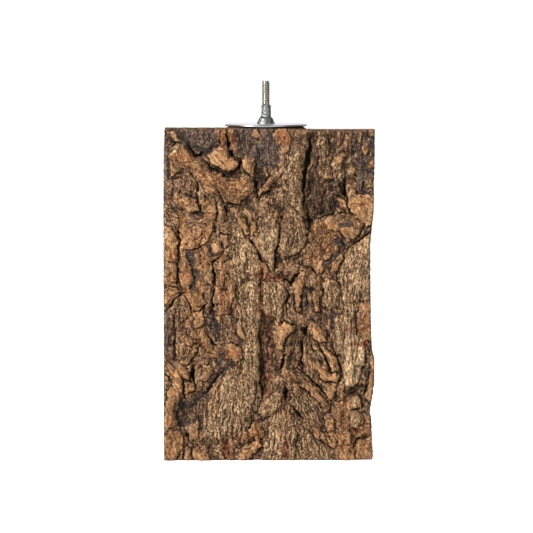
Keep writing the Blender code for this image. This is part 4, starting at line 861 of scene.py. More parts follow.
        for spacing, reach, strength, points in GROWTH:
            at = self.window(points, reach + 1.0)
            away = distance_to_line(self.u[at], self.v[at], points)
            lay(at, away / spacing, strength * (1.0 - smoothstep(0.5, 1.0, away / reach)))
        for step, first, last, near, far, (top_u, top_v) in FANS:
            at = self.window([(top_u, top_v)], far)
            turn = np.degrees(np.arctan2(self.u[at] - top_u, top_v - self.v[at]))
            away = np.hypot(self.u[at] - top_u, self.v[at] - top_v)
            inside = smoothstep(first - 3.0, first + 3.0, turn) * smoothstep(last + 3.0, last - 3.0, turn)
            inside = inside * smoothstep(near - 3.0, near + 3.0, away) * smoothstep(far, far - 6.0, away)
            lay(at, turn / step, 1.5 * inside)
        patchy = np.clip(0.65 + 0.9 * noise(self.across, self.up / 2.0, 5.0, 59), 0.1, 1.0)
        calm = 0.55 * np.minimum(covered, 1.0) * patchy
        self.height += calm * (blurred(self.height, 2.4) - self.height) + 0.42 * waves * patchy
        self.tone += 1.1 * waves * patchy - calm * self.tone

    def cut_fissures(self):
        """Cracks with ragged sides in soft valleys, and how dark the middle of each one is painted: the
        crack's own dark, with painted shade that grows with its depth.
        """
        ragged = noisy(0.8, self.across, self.up, (0.45, 6.0, 17), (0.35, 2.4, 18))
        faint = np.clip(0.7 + 0.8 * noise(self.across, self.up, 8.0, 19), 0.25, 1.0)
        cut = np.zeros(self.height.shape)
        valley = np.zeros(self.height.shape)
        self.crack = np.zeros(self.height.shape)
        fine = [(width, depth, points) for width, depth, lines in FINE_CRACKS for points in lines]
        for width, depth, points in FISSURES + fine:
            at = self.window(points, width + 4.0)
            reach = distance_to_line(self.u[at], self.v[at], points, end_taper=0.3 * width)
            slope = 1.0 - smoothstep(0.0, 1.0, reach / (0.5 * width + 3.5))
            valley[at] = np.maximum(valley[at], 0.32 * depth * slope)
            fading = np.minimum(1.0, faint[at] + 0.6 * max(0.0, width - 2.6))
            half_width = 0.36 * width + 0.3 * max(0.0, width - 4.5)
            reach = reach / (half_width * np.maximum(ragged[at], 0.3))
            groove = 1.0 - smoothstep(0.0, 1.0, reach)
            cut[at] = np.maximum(cut[at], depth * (0.4 + 0.6 * fading) * groove)
            # The crack's own dark plus painted shade, darker for deeper cracks.
            strength = min(0.95, 0.4 + 0.15 * depth) * fading
            core = np.clip(1.2 - reach * max(1.1, 0.36 * width), 0.0, 1.0)
            self.crack[at] = np.maximum(self.crack[at], strength * core)
        self.height -= cut + valley

    def wear_edges(self):
        """Rounds and chips the rim of the saw cuts, and keeps the relief within its limits."""
        chip = 1.0 + 0.6 * noise(self.across, self.up, 3.0, 95)
        self.height -= 1.3 * (1.0 - smoothstep(0.0, 1.4, self.rim / np.maximum(chip, 0.3)))
        worn = PEAK * np.tanh(np.maximum(self.height, 0.0) / PEAK)
        self.height = np.where(self.height > 0.0, worn, np.maximum(self.height, FLOOR))

    def shape(self):
        """The whole relief: broad swells, then each kind of feature in turn."""
        u = self.across
        v = self.up
        self.height += noisy(0.0, u, v, (0.9, 38.0, 21), (0.6, 15.0, 22), (0.35, 6.0, 23))
        self.height += 2.4 * smoothstep(215.0, 248.0, v) * (1.0 - smoothstep(30.0, 62.0, np.abs(u)))
        self.lay_fields()
        self.lay_plates()
        self.lump()
        self.add_texture()
        self.add_growth()
        self.cut_fissures()
        self.wear_edges()
        self.find_tones()

    def stain(self, lines):
        """Blotchy marks along lines, each with a reach in mm and a strength: rust stains, and also painted
        shade and painted highlights.
        """
        layer = np.zeros(self.height.shape)
        blotch = 1.0 + 0.7 * noise(self.across, self.up, 2.2, 71)
        for reach, strength, points in lines:
            at = self.window(points, reach + 3.0)
            nearness = 1.0 - smoothstep(0.2, 1.0, distance_to_line(self.u[at], self.v[at], points) / reach)
            layer[at] = np.maximum(layer[at], np.clip(strength * nearness * blotch[at], 0.0, 1.0))
        return layer

    def find_tones(self):
        """What the paint needs: stains, painted shade in hollows, cracks and holes, and painted highlights
        on crests and along the bottom edge.
        """
        broad, hollow, small = [blurred(self.height, width) - self.height for width in (10.0, 4.0, 1.6)]
        # How sunk each place is below its surroundings, at small and broad reach, for painted shade in
        # hollows.
        sunk = 0.2 * np.clip(hollow - 0.2, 0.0, 3.0) + 0.9 * np.clip(small - 0.05, 0.0, 1.0)
        sunk += 0.12 * np.clip(broad - 0.4, 0.0, 4.0)
        # How far each place stands above its surroundings, for painted highlights on crests.
        crest = 1.5 * np.clip(-small - 0.08, 0.0, 1.0) + 0.2 * np.clip(-hollow - 0.2, 0.0, 2.0)
        tone = 0.5 * self.tint + 0.5 * self.tone + 0.15 * self.band
        # Rust stains, painted blue-grey shade in fissures, and painted glints.
        for name, lines in (("rust", RUST), ("fissure_shade", FISSURE_SHADE), ("fleck", PAINTED_GLINTS)):
            self.layers[name] = self.stain(lines)
        # Painted shade in the middle of each crack, and the painted hole spots.
        self.layers["crack"] = np.maximum(self.crack, self.stain(HOLE_SHADE))
        # Painted shade: darker in hollows and in the seams and pits between shards.
        self.layers["shade"] = np.maximum(np.clip(sunk, 0.0, 0.85), 0.45 * self.seam)
        # Painted highlights: lighter on crests and along the bottom edge, where the rim catches light.
        self.layers["light"] = np.clip(crest + 0.9 * smoothstep(1.7, 0.6, self.up), 0.0, 1.0)
        # Tone painted darker in broad hollows and lighter on broad rises, as painted shade and light; the
        # rest is the bark's own tone.
        self.layers["tone"] = tone - 0.22 * np.clip(broad, -2.0, 2.0)

    def sample(self, field, across, up):
        """A field read at other places on the face, between the grid points."""
        rows, columns = field.shape
        y = np.clip(up / TALL, 0.0, 1.0) * (rows - 1)
        row = np.minimum(y.astype(int), rows - 2)
        t = y - row
        left = self.across[row, 0] * (1.0 - t) + self.across[row + 1, 0] * t
        right = self.across[row, -1] * (1.0 - t) + self.across[row + 1, -1] * t
        x = np.clip((across - left) / (right - left), 0.0, 1.0) * (columns - 1)
        column = np.minimum(x.astype(int), columns - 2)
        s = x - column
        low = field[row, column] * (1.0 - s) + field[row, column + 1] * s
        high = field[row + 1, column] * (1.0 - s) + field[row + 1, column + 1] * s
        return low * (1.0 - t) + high * t


def grid_numbers(rows, columns, first):
    """Numbers for the points of a grid, row by row, from the first one on."""
    return first + np.arange(rows * columns).reshape(rows, columns)


def grid_quads(numbers, flipped):
    """Four corners for each cell, in the other order where the grid faces back."""
    a = numbers[:-1, :-1].ravel()
    b = numbers[:-1, 1:].ravel()
    c = numbers[1:, 1:].ravel()
    d = numbers[1:, :-1].ravel()
    return np.stack([a, d, c, b] if flipped else [a, b, c, d], axis=1)


def rim_of(field):
    """The grid's outer points in one loop, counter-clockwise seen from the front."""
    return np.concatenate([field[0, :-1], field[:-1, -1], field[-1, :0:-1], field[:0:-1, 0]])


def side_relief(along, back):
    """Depth in mm of the marks on the saw cuts: shallow saw lines, soft layers and open pores."""
    saw = 0.05 * np.sin(along * 2.4 + 0.05 * back) + 0.08 * noise(along, back / 3.0, 1.6, 81)
    layer = 0.14 * noise(along / 7.0, back, 1.9, 82)
    pore = smoothstep(0.34, 0.55, noise(along, back / 7.0, 2.2, 83))
    crumble = 0.7 * smoothstep(9.0, 0.0, back) * (0.3 + 0.7 * noise(along, back, 2.4, 84))
    return np.maximum(saw + layer + 0.8 * pore + crumble, 0.0)


def belly_relief(across, up):
    """Depth in mm of the inner face: long upright ribs, broad hollows, and pores."""
    drift = across + 3.0 * noise(across, up / 2.0, 22.0, 88)
    rib = np.abs(noise(drift, up / 6.0, 9.0, 85))
    hollow = 0.5 + 0.5 * noise(across, up / 1.5, 26.0, 89)
    fibre = 0.3 * np.abs(noise(drift, up / 6.0, 2.4, 86))
    pore = 0.6 * smoothstep(0.45, 0.65, noise(across, up / 2.0, 3.0, 87))
    return 0.5 * hollow + 0.9 * (0.6 - rib) + fibre + pore


def from_axis(across, y):
    """Distance in mm to the axis of the disc and stud."""
    return np.hypot(across - AXIS[0] / MM, y - AXIS[1] / MM)


def worn_cuts(places):
    """Top saw cut a little lower beside the disc, and the lower front edge chipped."""
    across, y, up = places.T
    beside = smoothstep(27.5, 30.8, from_axis(across, y))
    drop = beside * (0.5 + 1.1 * smoothstep(0.0, 40.0, across) + 1.7 * smoothstep(-20.0, 34.0, y))
    drop += 0.25 * beside * noise(across, 0.4 * y, 5.0, 98)
    notch = 1.6 * np.exp(-((across + 8.5) / 2.2) ** 2) + 1.3 * smoothstep(50.0, HALF_WIDTH, across)
    notch += 0.5 * smoothstep(-0.2, 0.6, noise(across, 0.0 * up, 7.0, 99))
    near_top = smoothstep(190.0, 249.0, up)
    near_front = smoothstep(12.0, 2.0, y - FRONT)
    places[:, 2] = up - drop * near_top + notch * near_front * smoothstep(14.0, 0.0, up)
    return places


def side_rings(face, front_y):
    """Points of each ring back along the saw cuts, pressed in where the cuts are marked."""
    rows, columns = face.height.shape
    rim_x, rim_y, rim_z = rim_of(face.across), rim_of(front_y), rim_of(face.up)
    count = len(rim_x)
    out_x = np.zeros(count)
    out_z = np.zeros(count)
    out_z[:columns - 1] = -1.0
    out_x[columns - 1:columns + rows - 2] = 1.0
    out_z[columns + rows - 2:2 * columns + rows - 3] = 1.0
    out_x[2 * columns + rows - 3:] = -1.0
    along = np.arange(count) * CELL
    inland = smoothstep(0.0, 6.0, HALF_WIDTH - np.abs(rim_x)) + np.abs(out_x)
    for from_end in (rim_z, TALL - rim_z):
        inland = np.minimum(inland, smoothstep(0.0, 6.0, from_end) + np.abs(out_z))
    inland = np.minimum(inland, 1.0)
    points = []
    for ring in range(1, RINGS):
        y = rim_y + (BACK - rim_y) * (ring / RINGS) ** 1.5
        from_rim = smoothstep(0.0, 1.0, np.full(count, 4.0 * min(ring, RINGS - ring)))
        depth = side_relief(along, y - rim_y) * from_rim * inland
        points.append(np.stack([rim_x - out_x * depth, y, rim_z - out_z * depth], axis=1))
    return points


def join_rims(fine, coarse):
    """Triangles between a rim and one with half as many points."""
    first = fine[0::2]
    middle = fine[1::2]
    last = np.roll(first, -1)
    after = np.roll(coarse, -1)
    strips = [(first, coarse, middle), (middle, coarse, after), (middle, after, last)]
    return np.concatenate([np.stack(strip, axis=1) for strip in strips])


def slab_mesh(face):
    """One closed mesh: the bark face, rings of cells back along the saw cuts, and the inner face."""
    rows, columns = face.height.shape
    front_y = FRONT + PEAK - face.height
    vertices = [np.stack([face.across.ravel(), front_y.ravel(), face.up.ravel()], axis=1)]
    numbers = grid_numbers(rows, columns, 0)
    quads = [grid_quads(numbers, flipped=False)]
    rings = [rim_of(numbers)]
    next_number = rows * columns
    for points in side_rings(face, front_y):
        vertices.append(points)
        rings.append(next_number + np.arange(len(points)))
        next_number += len(points)
    for near, far in zip(rings, rings[1:]):
        quads.append(np.stack([near, far, np.roll(far, -1), np.roll(near, -1)], axis=1))

    back_x, back_z, from_rim = [field[::2, ::2] for field in (face.across, face.up, face.rim)]
    inset = belly_relief(back_x, back_z) * smoothstep(-0.5, 3.0, from_rim)
    vertices.append(np.stack([back_x.ravel(), (BACK - inset).ravel(), back_z.ravel()], axis=1))
    numbers = grid_numbers(*back_x.shape, next_number)
    quads.append(grid_quads(numbers, flipped=True))
    faces = np.concatenate(quads).tolist() + join_rims(rings[-1], rim_of(numbers)).tolist()
    mesh = bpy.data.meshes.new("cork_bark")
    mesh.from_pydata(worn_cuts(np.concatenate(vertices)) * MM, [], faces)
    return mesh


def link(name, mesh):
    """A new object with this mesh, in the scene."""
    obj = bpy.data.objects.new(name, mesh)
    bpy.context.scene.collection.objects.link(obj)
    return obj


def thin_faces(obj, kept):
    """Leaves this many triangles, most of them where the surface bends."""
    triangles = sum(len(polygon.vertices) - 2 for polygon in obj.data.polygons)
    thin = obj.modifiers.new("fewer faces", "DECIMATE")
    thin.ratio = min(1.0, kept / triangles)
    bpy.context.view_layer.objects.active = obj
    bpy.ops.object.modifier_apply(modifier=thin.name)


def keep_in_box(mesh, low, high):
    """Moves points that stand past the box back onto it, and returns every point in mm."""
    places = np.zeros(len(mesh.vertices) * 3)
    mesh.vertices.foreach_get("co", places)
    places = np.clip(places.reshape(-1, 3), low, high)
    mesh.vertices.foreach_set("co", places.ravel())
    mesh.update()
    return places / MM


def build_bark(finish):
    """The cork: its mesh, and the traits that its material reads at each point."""
    face = Face(COLUMNS, ROWS)
    face.shape()
    slab = link("cork_bark", slab_mesh(face))
    thin_faces(slab, KEPT_TRIANGLES)
    mesh = slab.data
    across, y, up = keep_in_box(mesh, SLAB_LOW, SLAB_HIGH).T
    behind = y - (FRONT + PEAK - face.sample(face.height, across, up))
    from_edge = np.minimum(HALF_WIDTH - np.abs(across), np.minimum(up, TALL - up))
    traits = {name: face.sample(layer, across, up) for name, layer in face.layers.items()}
    traits["sawn"] = smoothstep(0.4, 1.2, behind)
    traits["crust"] = smoothstep(9.0, 1.0, behind)
    # Painted shadow on the top saw cut just round the disc.
    traits["seat"] = smoothstep(35.5, 31.0, from_axis(across, y)) * smoothstep(247.5, 249.0, up)
    traits["belly"] = smoothstep(BACK - 2.2, BACK - 1.6, y) * smoothstep(0.3, 1.5, from_edge)
    for name, values in traits.items():
        mesh.attributes.new(name, "FLOAT", "POINT").data.foreach_set("value", values.astype(np.float32))
    mesh.shade_smooth()
    mesh.materials.append(finish)
    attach(slab, "root")
    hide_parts("cork_bark_slab")
    return slab


def tone_value(channel):
    """One channel of a screen colour as linear light."""
    share = channel / 255.0
    return share / 12.92 if share <= 0.04045 else ((share + 0.055) / 1.055) ** 2.4


def colour(red, green, blue):
    """A screen colour, with each channel from 0 to 255, as linear light."""
    return (tone_value(red), tone_value(green), tone_value(blue), 1.0)


# Browns of each kind of surface, from its darkest tone to its lightest: value, red, green, blue.
UMBER_BROWNS = [(0.22, 46, 33, 26), (0.41, 101, 75, 56), (0.58, 150, 113, 83), (0.80, 202, 154, 114)]
TAN_BROWNS = [(0.22, 68, 45, 32), (0.42, 128, 88, 58), (0.58, 165, 118, 78), (0.82, 219, 169, 119)]
ORANGE_BROWNS = [(0.22, 70, 42, 28), (0.42, 126, 79, 48), (0.58, 165, 109, 66), (0.82, 214, 156, 102)]
PALE_BROWNS = [
    (0.22, 56, 41, 30), (0.40, 123, 93, 67), (0.56, 176, 138, 97), (0.80, 228, 187, 141),
    (0.97, 255, 218, 172)]
GREY_BROWNS = [(0.22, 42, 34, 31), (0.42, 78, 64, 57), (0.58, 108, 89, 78), (0.82, 154, 127, 108)]
CUT_BROWNS = [(0.28, 122, 82, 52), (0.5, 172, 124, 80), (0.75, 210, 164, 116)]
BELLY_BROWNS = [(0.3, 92, 62, 42), (0.48, 148, 106, 72), (0.7, 196, 154, 110)]


class Tree:
    """A node tree, made one call at a time."""

    def __init__(self, tree):
        self.tree = tree

    def feed(self, socket, value):
        """Links another node's output to the socket, or sets its number or colour."""
        if isinstance(value, bpy.types.NodeSocket):
            self.tree.links.new(value, socket)
        else:
            socket.default_value = value

    def add(self, kind, feeds=(), **settings):
        """A new node with these settings, and each input by its name or number."""
        node = self.tree.nodes.new(kind)
        for key, value in settings.items():
            setattr(node, key, value)
        for name, value in dict(feeds).items():
            self.feed(node.inputs[name], value)
        return node

    def math(self, operation, a, b=0.0, clamp=False):
        node = self.add("ShaderNodeMath", {0: a, 1: b}, operation=operation, use_clamp=clamp)
        return node.outputs["Value"]

    def times(self, a, b, clamp=False):
        return self.math("MULTIPLY", a, b, clamp)

    def blend(self, parts, start):
        """The start plus each value times its weight."""
        total = start
        for value, weight in parts:
            node = self.add("ShaderNodeMath", {0: value, 1: weight, 2: total}, operation="MULTIPLY_ADD")
            total = node.outputs["Value"]
        return total

    def spread(self, value, low, high, to_low=0.0, to_high=1.0, curve="SMOOTHSTEP"):
        """The value moved from one range to another, and kept within it."""
        ends = {"From Min": low, "From Max": high, "To Min": to_low, "To Max": to_high}
        node = self.add("ShaderNodeMapRange", {"Value": value, **ends}, interpolation_type=curve)
        return node.outputs["Result"]

    def parts(self, vector):
        """A vector's parts, by the names X, Y and Z."""
        return self.add("ShaderNodeSeparateXYZ", {"Vector": vector}).outputs


class Nodes(Tree):
    """A material's nodes."""

    def __init__(self, name):
        self.material = bpy.data.materials.new(name)
        self.material.use_nodes = True
        super().__init__(self.material.node_tree)
        self.shader = self.tree.nodes["Principled BSDF"]
        self.place = self.add("ShaderNodeTexCoord").outputs["Object"]

    def attribute(self, name):
        """One of the traits that the mesh carries at each point."""
        return self.add("ShaderNodeAttribute", attribute_name=name).outputs["Fac"]

    def stretched(self, x, y, z):
        """The place on the object in mm, multiplied along each axis."""
        feeds = {"Vector": self.place, "Scale": (x / MM, y / MM, z / MM)}
        return self.add("ShaderNodeMapping", feeds).outputs["Vector"]

    def texture(self, place, detail, roughness=0.6):
        """Noise over a place that is already stretched."""
        feeds = {"Vector": place, "Scale": 1.0, "Detail": detail, "Roughness": roughness}
        return self.add("ShaderNodeTexNoise", feeds).outputs["Fac"]

    def noise(self, x, y, z, detail=2.0, roughness=0.6):
        """Noise with this many waves per mm along each axis."""
        return self.texture(self.stretched(x, y, z), detail, roughness)

    def strands(self, across, along):
        """Noise drawn out along the growth lines, with this many waves per mm across and along them."""
        apart = self.parts(self.stretched(along, along, along))
        run = self.math("ADD", apart["X"], apart["Z"])
        feeds = {"X": self.times(self.attribute("grain"), across), "Y": run}
        return self.texture(self.add("ShaderNodeCombineXYZ", feeds).outputs["Vector"], 2.0)

    def mixed(self, share, first, second):
        """One number between two, nearer to the second as the share grows."""
        feeds = {"Factor": share, 2: first, 3: second}
        return self.add("ShaderNodeMix", feeds, data_type="FLOAT").outputs[0]

    def mix(self, share, first, second, blend="MIX"):
        """One colour between two, or the first changed by the second."""
        feeds = {"Factor": share, 6: first, 7: second}
        return self.add("ShaderNodeMix", feeds, data_type="RGBA", blend_type=blend).outputs[2]

    def contour(self, value, width):
        """1 where the value passes 0.5, as thin winding lines."""
        away = self.math("ABSOLUTE", self.math("SUBTRACT", value, 0.5))
        return self.spread(away, 0.5 * width, width, 1.0, 0.0)

    def ragged(self, name, noise):
        """A trait with a crisp edge where it passes a half, frayed by the noise."""
        return self.spread(self.blend([(self.attribute(name), 1.0), (noise, 1.1)], -0.55), 0.3, 0.7)

    def cracks(self, x, y, z, width):
        """Thin wandering lines between cells, with this many cells per mm, as 1 on the lines."""
        place = self.stretched(x, y, z)
        drift = self.add("ShaderNodeTexNoise", {"Vector": place, "Scale": 2.2, "Detail": 3.0})
        bent = self.add("ShaderNodeVectorMath", {0: drift.outputs["Color"], 1: (0.9, 0.9, 0.9), 2: place},
                        operation="MULTIPLY_ADD")
        edge = self.add("ShaderNodeTexVoronoi", {"Vector": bent.outputs["Vector"], "Scale": 1.0},
                        feature="DISTANCE_TO_EDGE")
        return self.spread(edge.outputs["Distance"], 0.3 * width, width, 1.0, 0.0)

    def ramp(self, value, stops):
        """A run of colours over the value, from stops of value, red, green and blue."""
        node = self.add("ShaderNodeValToRGB", {"Fac": value})
        elements = node.color_ramp.elements
        while len(elements) < len(stops):
            elements.new(1.0)
        for element, (place, red, green, blue) in zip(elements, stops):
            element.position = place
            element.color = colour(red, green, blue)
        return node.outputs["Color"]

    def bump(self, height, strength, distance):
        """Tilts the shading by a height, over this distance in metres."""
        node = self.add("ShaderNodeBump", {"Height": height, "Strength": strength, "Distance": distance})
        self.feed(self.shader.inputs["Normal"], node.outputs["Normal"])


class Cork(Nodes):
    """Bark: browns for each kind of surface, broken up by fine noise, then stains, cracks, and painted
    shade and highlights.
    """

    def __init__(self):
        super().__init__("cork bark")
        self.fine = self.noise(0.8, 0.8, 0.65, detail=3.0, roughness=0.7)
        self.blotch = self.noise(0.075, 0.1, 0.06, detail=4.0)
        self.fibre = self.noise(1.2, 1.2, 0.32, detail=3.0, roughness=0.7)
        self.patch = self.noise(0.16, 0.16, 0.12, detail=3.0)
        self.grain = self.wrapped(self.fibre, self.strands(1.0, 0.17))
        self.speck = self.wrapped(self.noise(1.25, 1.25, 0.6, detail=1.0), self.strands(1.3, 0.55))
        wide = self.cracks(0.15, 0.15, 0.1, 0.045)
        thin = self.cracks(0.42, 0.42, 0.26, 0.09)
        self.split = self.times(wide, self.spread(self.patch, 0.42, 0.55, 0.1, 0.8))
        hair = self.times(thin, self.spread(self.fine, 0.4, 0.55, 0.2, 0.85))
        self.hair = self.times(hair, self.math("SUBTRACT", 1.0, self.times(self.attribute("tan"), 0.55)))
        self.crease = self.creases()
        self.tone = self.attribute("tone")
        self.level = self.blend([
            (self.grain, 0.9), (self.fine, 0.4), (self.speck, 1.6), (self.blotch, 0.4), (self.patch, 0.2),
            (self.tone, 0.24)], -1.205)

    def wrapped(self, away, near):
        """One noise far from the plates, and another round them."""
        return self.mixed(self.attribute("wrap"), away, near)

    def creases(self):
        """Thin winding lines in patches, weaker on pale bark and on plates."""
        upright = self.noise(0.26, 0.26, 0.03, detail=3.0, roughness=0.55)
        crease = self.wrapped(self.contour(upright, 0.048), self.contour(self.strands(0.28, 0.03), 0.05))
        patchy = self.spread(self.noise(0.14, 0.14, 0.07, detail=2.0), 0.42, 0.56, 0.05, 0.85)
        kinds = self.blend([(self.attribute("pale"), -0.45), (self.attribute("tan"), -0.35)], 1.0)
        return self.times(self.times(crease, patchy), kinds)

    def umber(self):
        """Dark bark, with flecks of tan in patches."""
        dark = self.ramp(self.level, UMBER_BROWNS)
        light = self.ramp(self.level, TAN_BROWNS)
        flecks = self.mix(self.spread(self.fine, 0.5, 0.62, 0.0, 0.8), dark, light)
        return self.mix(self.spread(self.patch, 0.48, 0.6), dark, flecks)

    def kinds(self, umber):
        """Each kind of surface over the umber, with frayed edges."""
        stripe = self.blend([
            (self.fibre, 1.2), (self.speck, 1.6), (self.fine, 0.3), (self.blotch, 0.4), (self.tone, 0.25)],
            -1.2)
        tan = self.mix(self.spread(self.patch, 0.42, 0.66),
                       self.ramp(self.level, TAN_BROWNS), self.ramp(self.level, ORANGE_BROWNS))
        grey = self.ramp(self.level, GREY_BROWNS)
        painted = umber
        for kind, shade in (("pale", self.ramp(stripe, PALE_BROWNS)), ("grey", grey), ("tan", tan)):
            painted = self.mix(self.ragged(kind, self.fine), painted, shade)
        return self.mix(self.spread(self.blotch, 0.52, 0.7, 0.0, 0.45), painted, grey)

    def warmed(self, painted):
        """Patches that are warmer or cooler than the rest."""
        ripple = self.noise(0.5, 0.5, 0.4, detail=3.0, roughness=0.75)
        warmth = self.blend([(ripple, 1.0), (self.patch, 0.6)], -0.3)
        for low, high, tint in ((0.5, 0.72, (1.0, 0.66, 0.42, 1.0)), (0.48, 0.3, (0.72, 0.78, 0.96, 1.0))):
            changed = self.mix(1.0, painted, tint, "MULTIPLY")
            painted = self.mix(self.spread(warmth, low, high, 0.0, 0.5), painted, changed)
        return painted

    def stained(self, painted):
        """Rust stains, then painted shade and light: blue-grey painted shade in fissures, painted
        highlights on crests, painted glints, and last the dark of cracks, partly painted shade, and
        painted shade in hollows.
        """
        fine = self.fine
        rust = self.mix(self.spread(fine, 0.35, 0.65), colour(88, 42, 24), colour(190, 96, 52))
        # Painted shade in fissures and hollows, blue-grey.
        fissure_shade = self.mix(self.spread(fine, 0.3, 0.7), colour(34, 32, 35), colour(84, 76, 73))
        # Painted highlight on crests and along the bottom edge, in a pale tan.
        crest = self.times(self.attribute("light"), self.spread(fine, 0.35, 0.65, 0.1, 0.9), clamp=True)
        broken = self.spread(self.speck, 0.3, 0.65, 0.5, 1.2)
        # Painted shade in hollows, broken up by the speckle.
        hollow = self.times(self.attribute("shade"), broken, clamp=True)
        for share, shade in (
                (self.times(self.attribute("rust"), 0.85), rust),
                (self.times(self.ragged("fissure_shade", fine), 0.9), fissure_shade),
                (crest, colour(220, 173, 120)),
                # Painted glints: bright specks of highlight.
                (self.attribute("fleck"), colour(246, 216, 166)),
                (self.math("MAXIMUM", self.split, self.hair), colour(44, 31, 23)),
                (self.crease, colour(40, 28, 21)),
                (hollow, colour(34, 24, 17)),
                # Painted shade in crack middles, over the crack's own dark.
                (self.times(self.ragged("crack", fine), 0.8), colour(36, 26, 20))):
            painted = self.mix(share, painted, shade)
        return painted

    def sawn(self):
        """Cut cork: warm tan, in thin layers along the face, crossed by dark pores that run inwards."""
        cork = self.ramp(self.noise(0.7, 0.7, 0.7, detail=4.0, roughness=0.7), CUT_BROWNS)
        marks = [
            ((0.03, 0.05, 0.03), 3.0, (0.45, 0.7), 0.55, (122, 84, 58)),
            ((0.012, 0.33, 0.012), 2.0, (0.52, 0.58), 0.6, (110, 72, 44)),
            ((0.02, 1.1, 0.02), 2.0, (0.55, 0.7), 0.35, (134, 92, 58)),
            ((0.42, 0.06, 0.42), 2.0, (0.60, 0.66), 0.9, (58, 36, 23)),
            ((0.9, 0.35, 0.9), 1.0, (0.66, 0.72), 0.8, (70, 44, 28))]
        for waves, detail, (low, high), most, shade in marks:
            share = self.spread(self.noise(*waves, detail=detail), low, high, 0.0, most)
            cork = self.mix(share, cork, colour(*shade))
        return cork

    def belly(self):
        """Inner face: upright grain in soft browns, with dark pores and stains."""
        grain = self.noise(0.45, 0.45, 0.05, detail=5.0, roughness=0.65)
        ripple = self.noise(1.2, 1.2, 0.3, detail=3.0)
        pores = self.noise(0.5, 0.5, 0.28, detail=2.0)
        wide = self.noise(0.02, 0.02, 0.012, detail=3.0)
        belly = self.ramp(self.math("ADD", self.times(grain, 0.6), self.times(ripple, 0.4)), BELLY_BROWNS)
        stained = self.mix(0.55, belly, colour(98, 78, 64))
        belly = self.mix(self.spread(self.blotch, 0.42, 0.66, 0.0, 0.9), belly, stained)
        belly = self.mix(self.spread(wide, 0.5, 0.66, 0.0, 0.6), belly, colour(206, 164, 118))
        return self.mix(self.spread(pores, 0.62, 0.68, 0.0, 0.85), belly, colour(52, 34, 24))

    def cuts(self, umber):
        """The saw cuts: crust near the bark face, shade beside the disc, and the inner face."""
        sides = self.mix(self.attribute("crust"), self.sawn(), self.mix(0.5, umber, colour(66, 47, 36)))
        sides = self.mix(self.times(self.attribute("seat"), 0.6), sides, colour(52, 38, 30))
        return self.mix(self.attribute("belly"), sides, self.belly())


def cork_material():
    """The cork's colours, roughness and fine bump."""
    n = Cork()
    umber = n.umber()
    bark = n.stained(n.warmed(n.kinds(umber)))
    n.feed(n.shader.inputs["Base Color"], n.mix(n.attribute("sawn"), bark, n.cuts(umber)))
    n.feed(n.shader.inputs["Roughness"], n.spread(n.fine, 0.2, 0.8, 0.82, 1.0))
    n.shader.inputs["Specular IOR Level"].default_value = 0.25
    rough = n.blend([(n.fine, 0.4), (n.speck, 0.8), (n.grain, 0.9)], 0.0)
    n.bump(n.blend([(rough, 1.0), (n.split, -0.7), (n.hair, -0.5), (n.crease, -0.9)], 0.0), 1.0, 0.7 * MM)
    return n.material


# The darkest and the brightest tone of the weld and of the stud, as linear light.
WELD_GREYS = ((0.07, 0.075, 0.07, 1.0), (0.36, 0.37, 0.34, 1.0))
STEEL_GREYS = ((0.33, 0.32, 0.28, 1.0), (0.58, 0.56, 0.50, 1.0))


def metal_material(name, greys, roughness, waves, bump):
    """Metal whose tone and gloss vary with fine noise."""
    n = Nodes(name)
    fine = n.noise(waves, waves, waves, detail=4.0)
    n.feed(n.shader.inputs["Base Color"], n.mix(n.spread(fine, 0.3, 0.7), *greys))
    n.feed(n.shader.inputs["Roughness"], n.spread(fine, 0.25, 0.75, *roughness))
    n.shader.inputs["Metallic"].default_value = 1.0
    n.bump(fine, bump, 0.2 * MM)
    return n.material


def disc_material():
    """Bright plated steel with fine rings from rolling, painted darker towards the rim to stand for a
    dimmer reflection there.
    """
    n = Nodes("disc steel")
    apart = n.parts(n.stretched(1.0, 1.0, 1.0))
    squares = [n.times(apart[name], apart[name]) for name in ("X", "Y")]
    radius = n.math("POWER", n.math("ADD", *squares), 0.5)
    rings = n.add("ShaderNodeTexNoise", {"W": radius, "Scale": 1.4, "Detail": 4.0}, noise_dimensions="1D")
    smudge = n.noise(0.12, 0.12, 0.12, detail=4.0)
    # Painted reflection: the base colour darkens towards the rim, so that the ends look greyer.
    painted_dim_rim = n.spread(n.blend([(radius, 1.0), (smudge, 8.0)], -4.0), 21.0, 31.0, 0.0, 0.8)
    bright = n.mix(n.spread(smudge, 0.35, 0.65), (0.86, 0.87, 0.87, 1.0), (0.95, 0.95, 0.94, 1.0))
    n.feed(n.shader.inputs["Base Color"], n.mix(painted_dim_rim, bright, (0.42, 0.43, 0.44, 1.0)))
    n.feed(n.shader.inputs["Roughness"], n.spread(rings.outputs["Fac"], 0.3, 0.7, 0.27, 0.4))
    n.shader.inputs["Metallic"].default_value = 1.0
    n.bump(rings.outputs["Fac"], 0.2, 0.1 * MM)
    return n.material


def ringed_mesh(name, rings, closed):
    """Rings of (radii, height) in metres, joined from each to the next, with ends or into a loop."""
    bm = bmesh.new()
    rows = []
    for radii, height in rings:
        turns = [2.0 * math.pi * side / len(radii) for side in range(len(radii))]
        rows.append([bm.verts.new((radius * math.cos(turn), radius * math.sin(turn), height))
                     for radius, turn in zip(radii, turns)])
    for lower, upper in zip(rows, rows[1:] + rows[:1] if closed else rows[1:]):
        for side, after in zip(range(len(lower)), list(range(1, len(lower))) + [0]):
            bm.faces.new((lower[side], lower[after], upper[after], upper[side]))
    if not closed:
        bm.faces.new(rows[0][::-1])
        bm.faces.new(rows[-1])
    mesh = bpy.data.meshes.new(name)
    bm.to_mesh(mesh)
    bm.free()
    return mesh


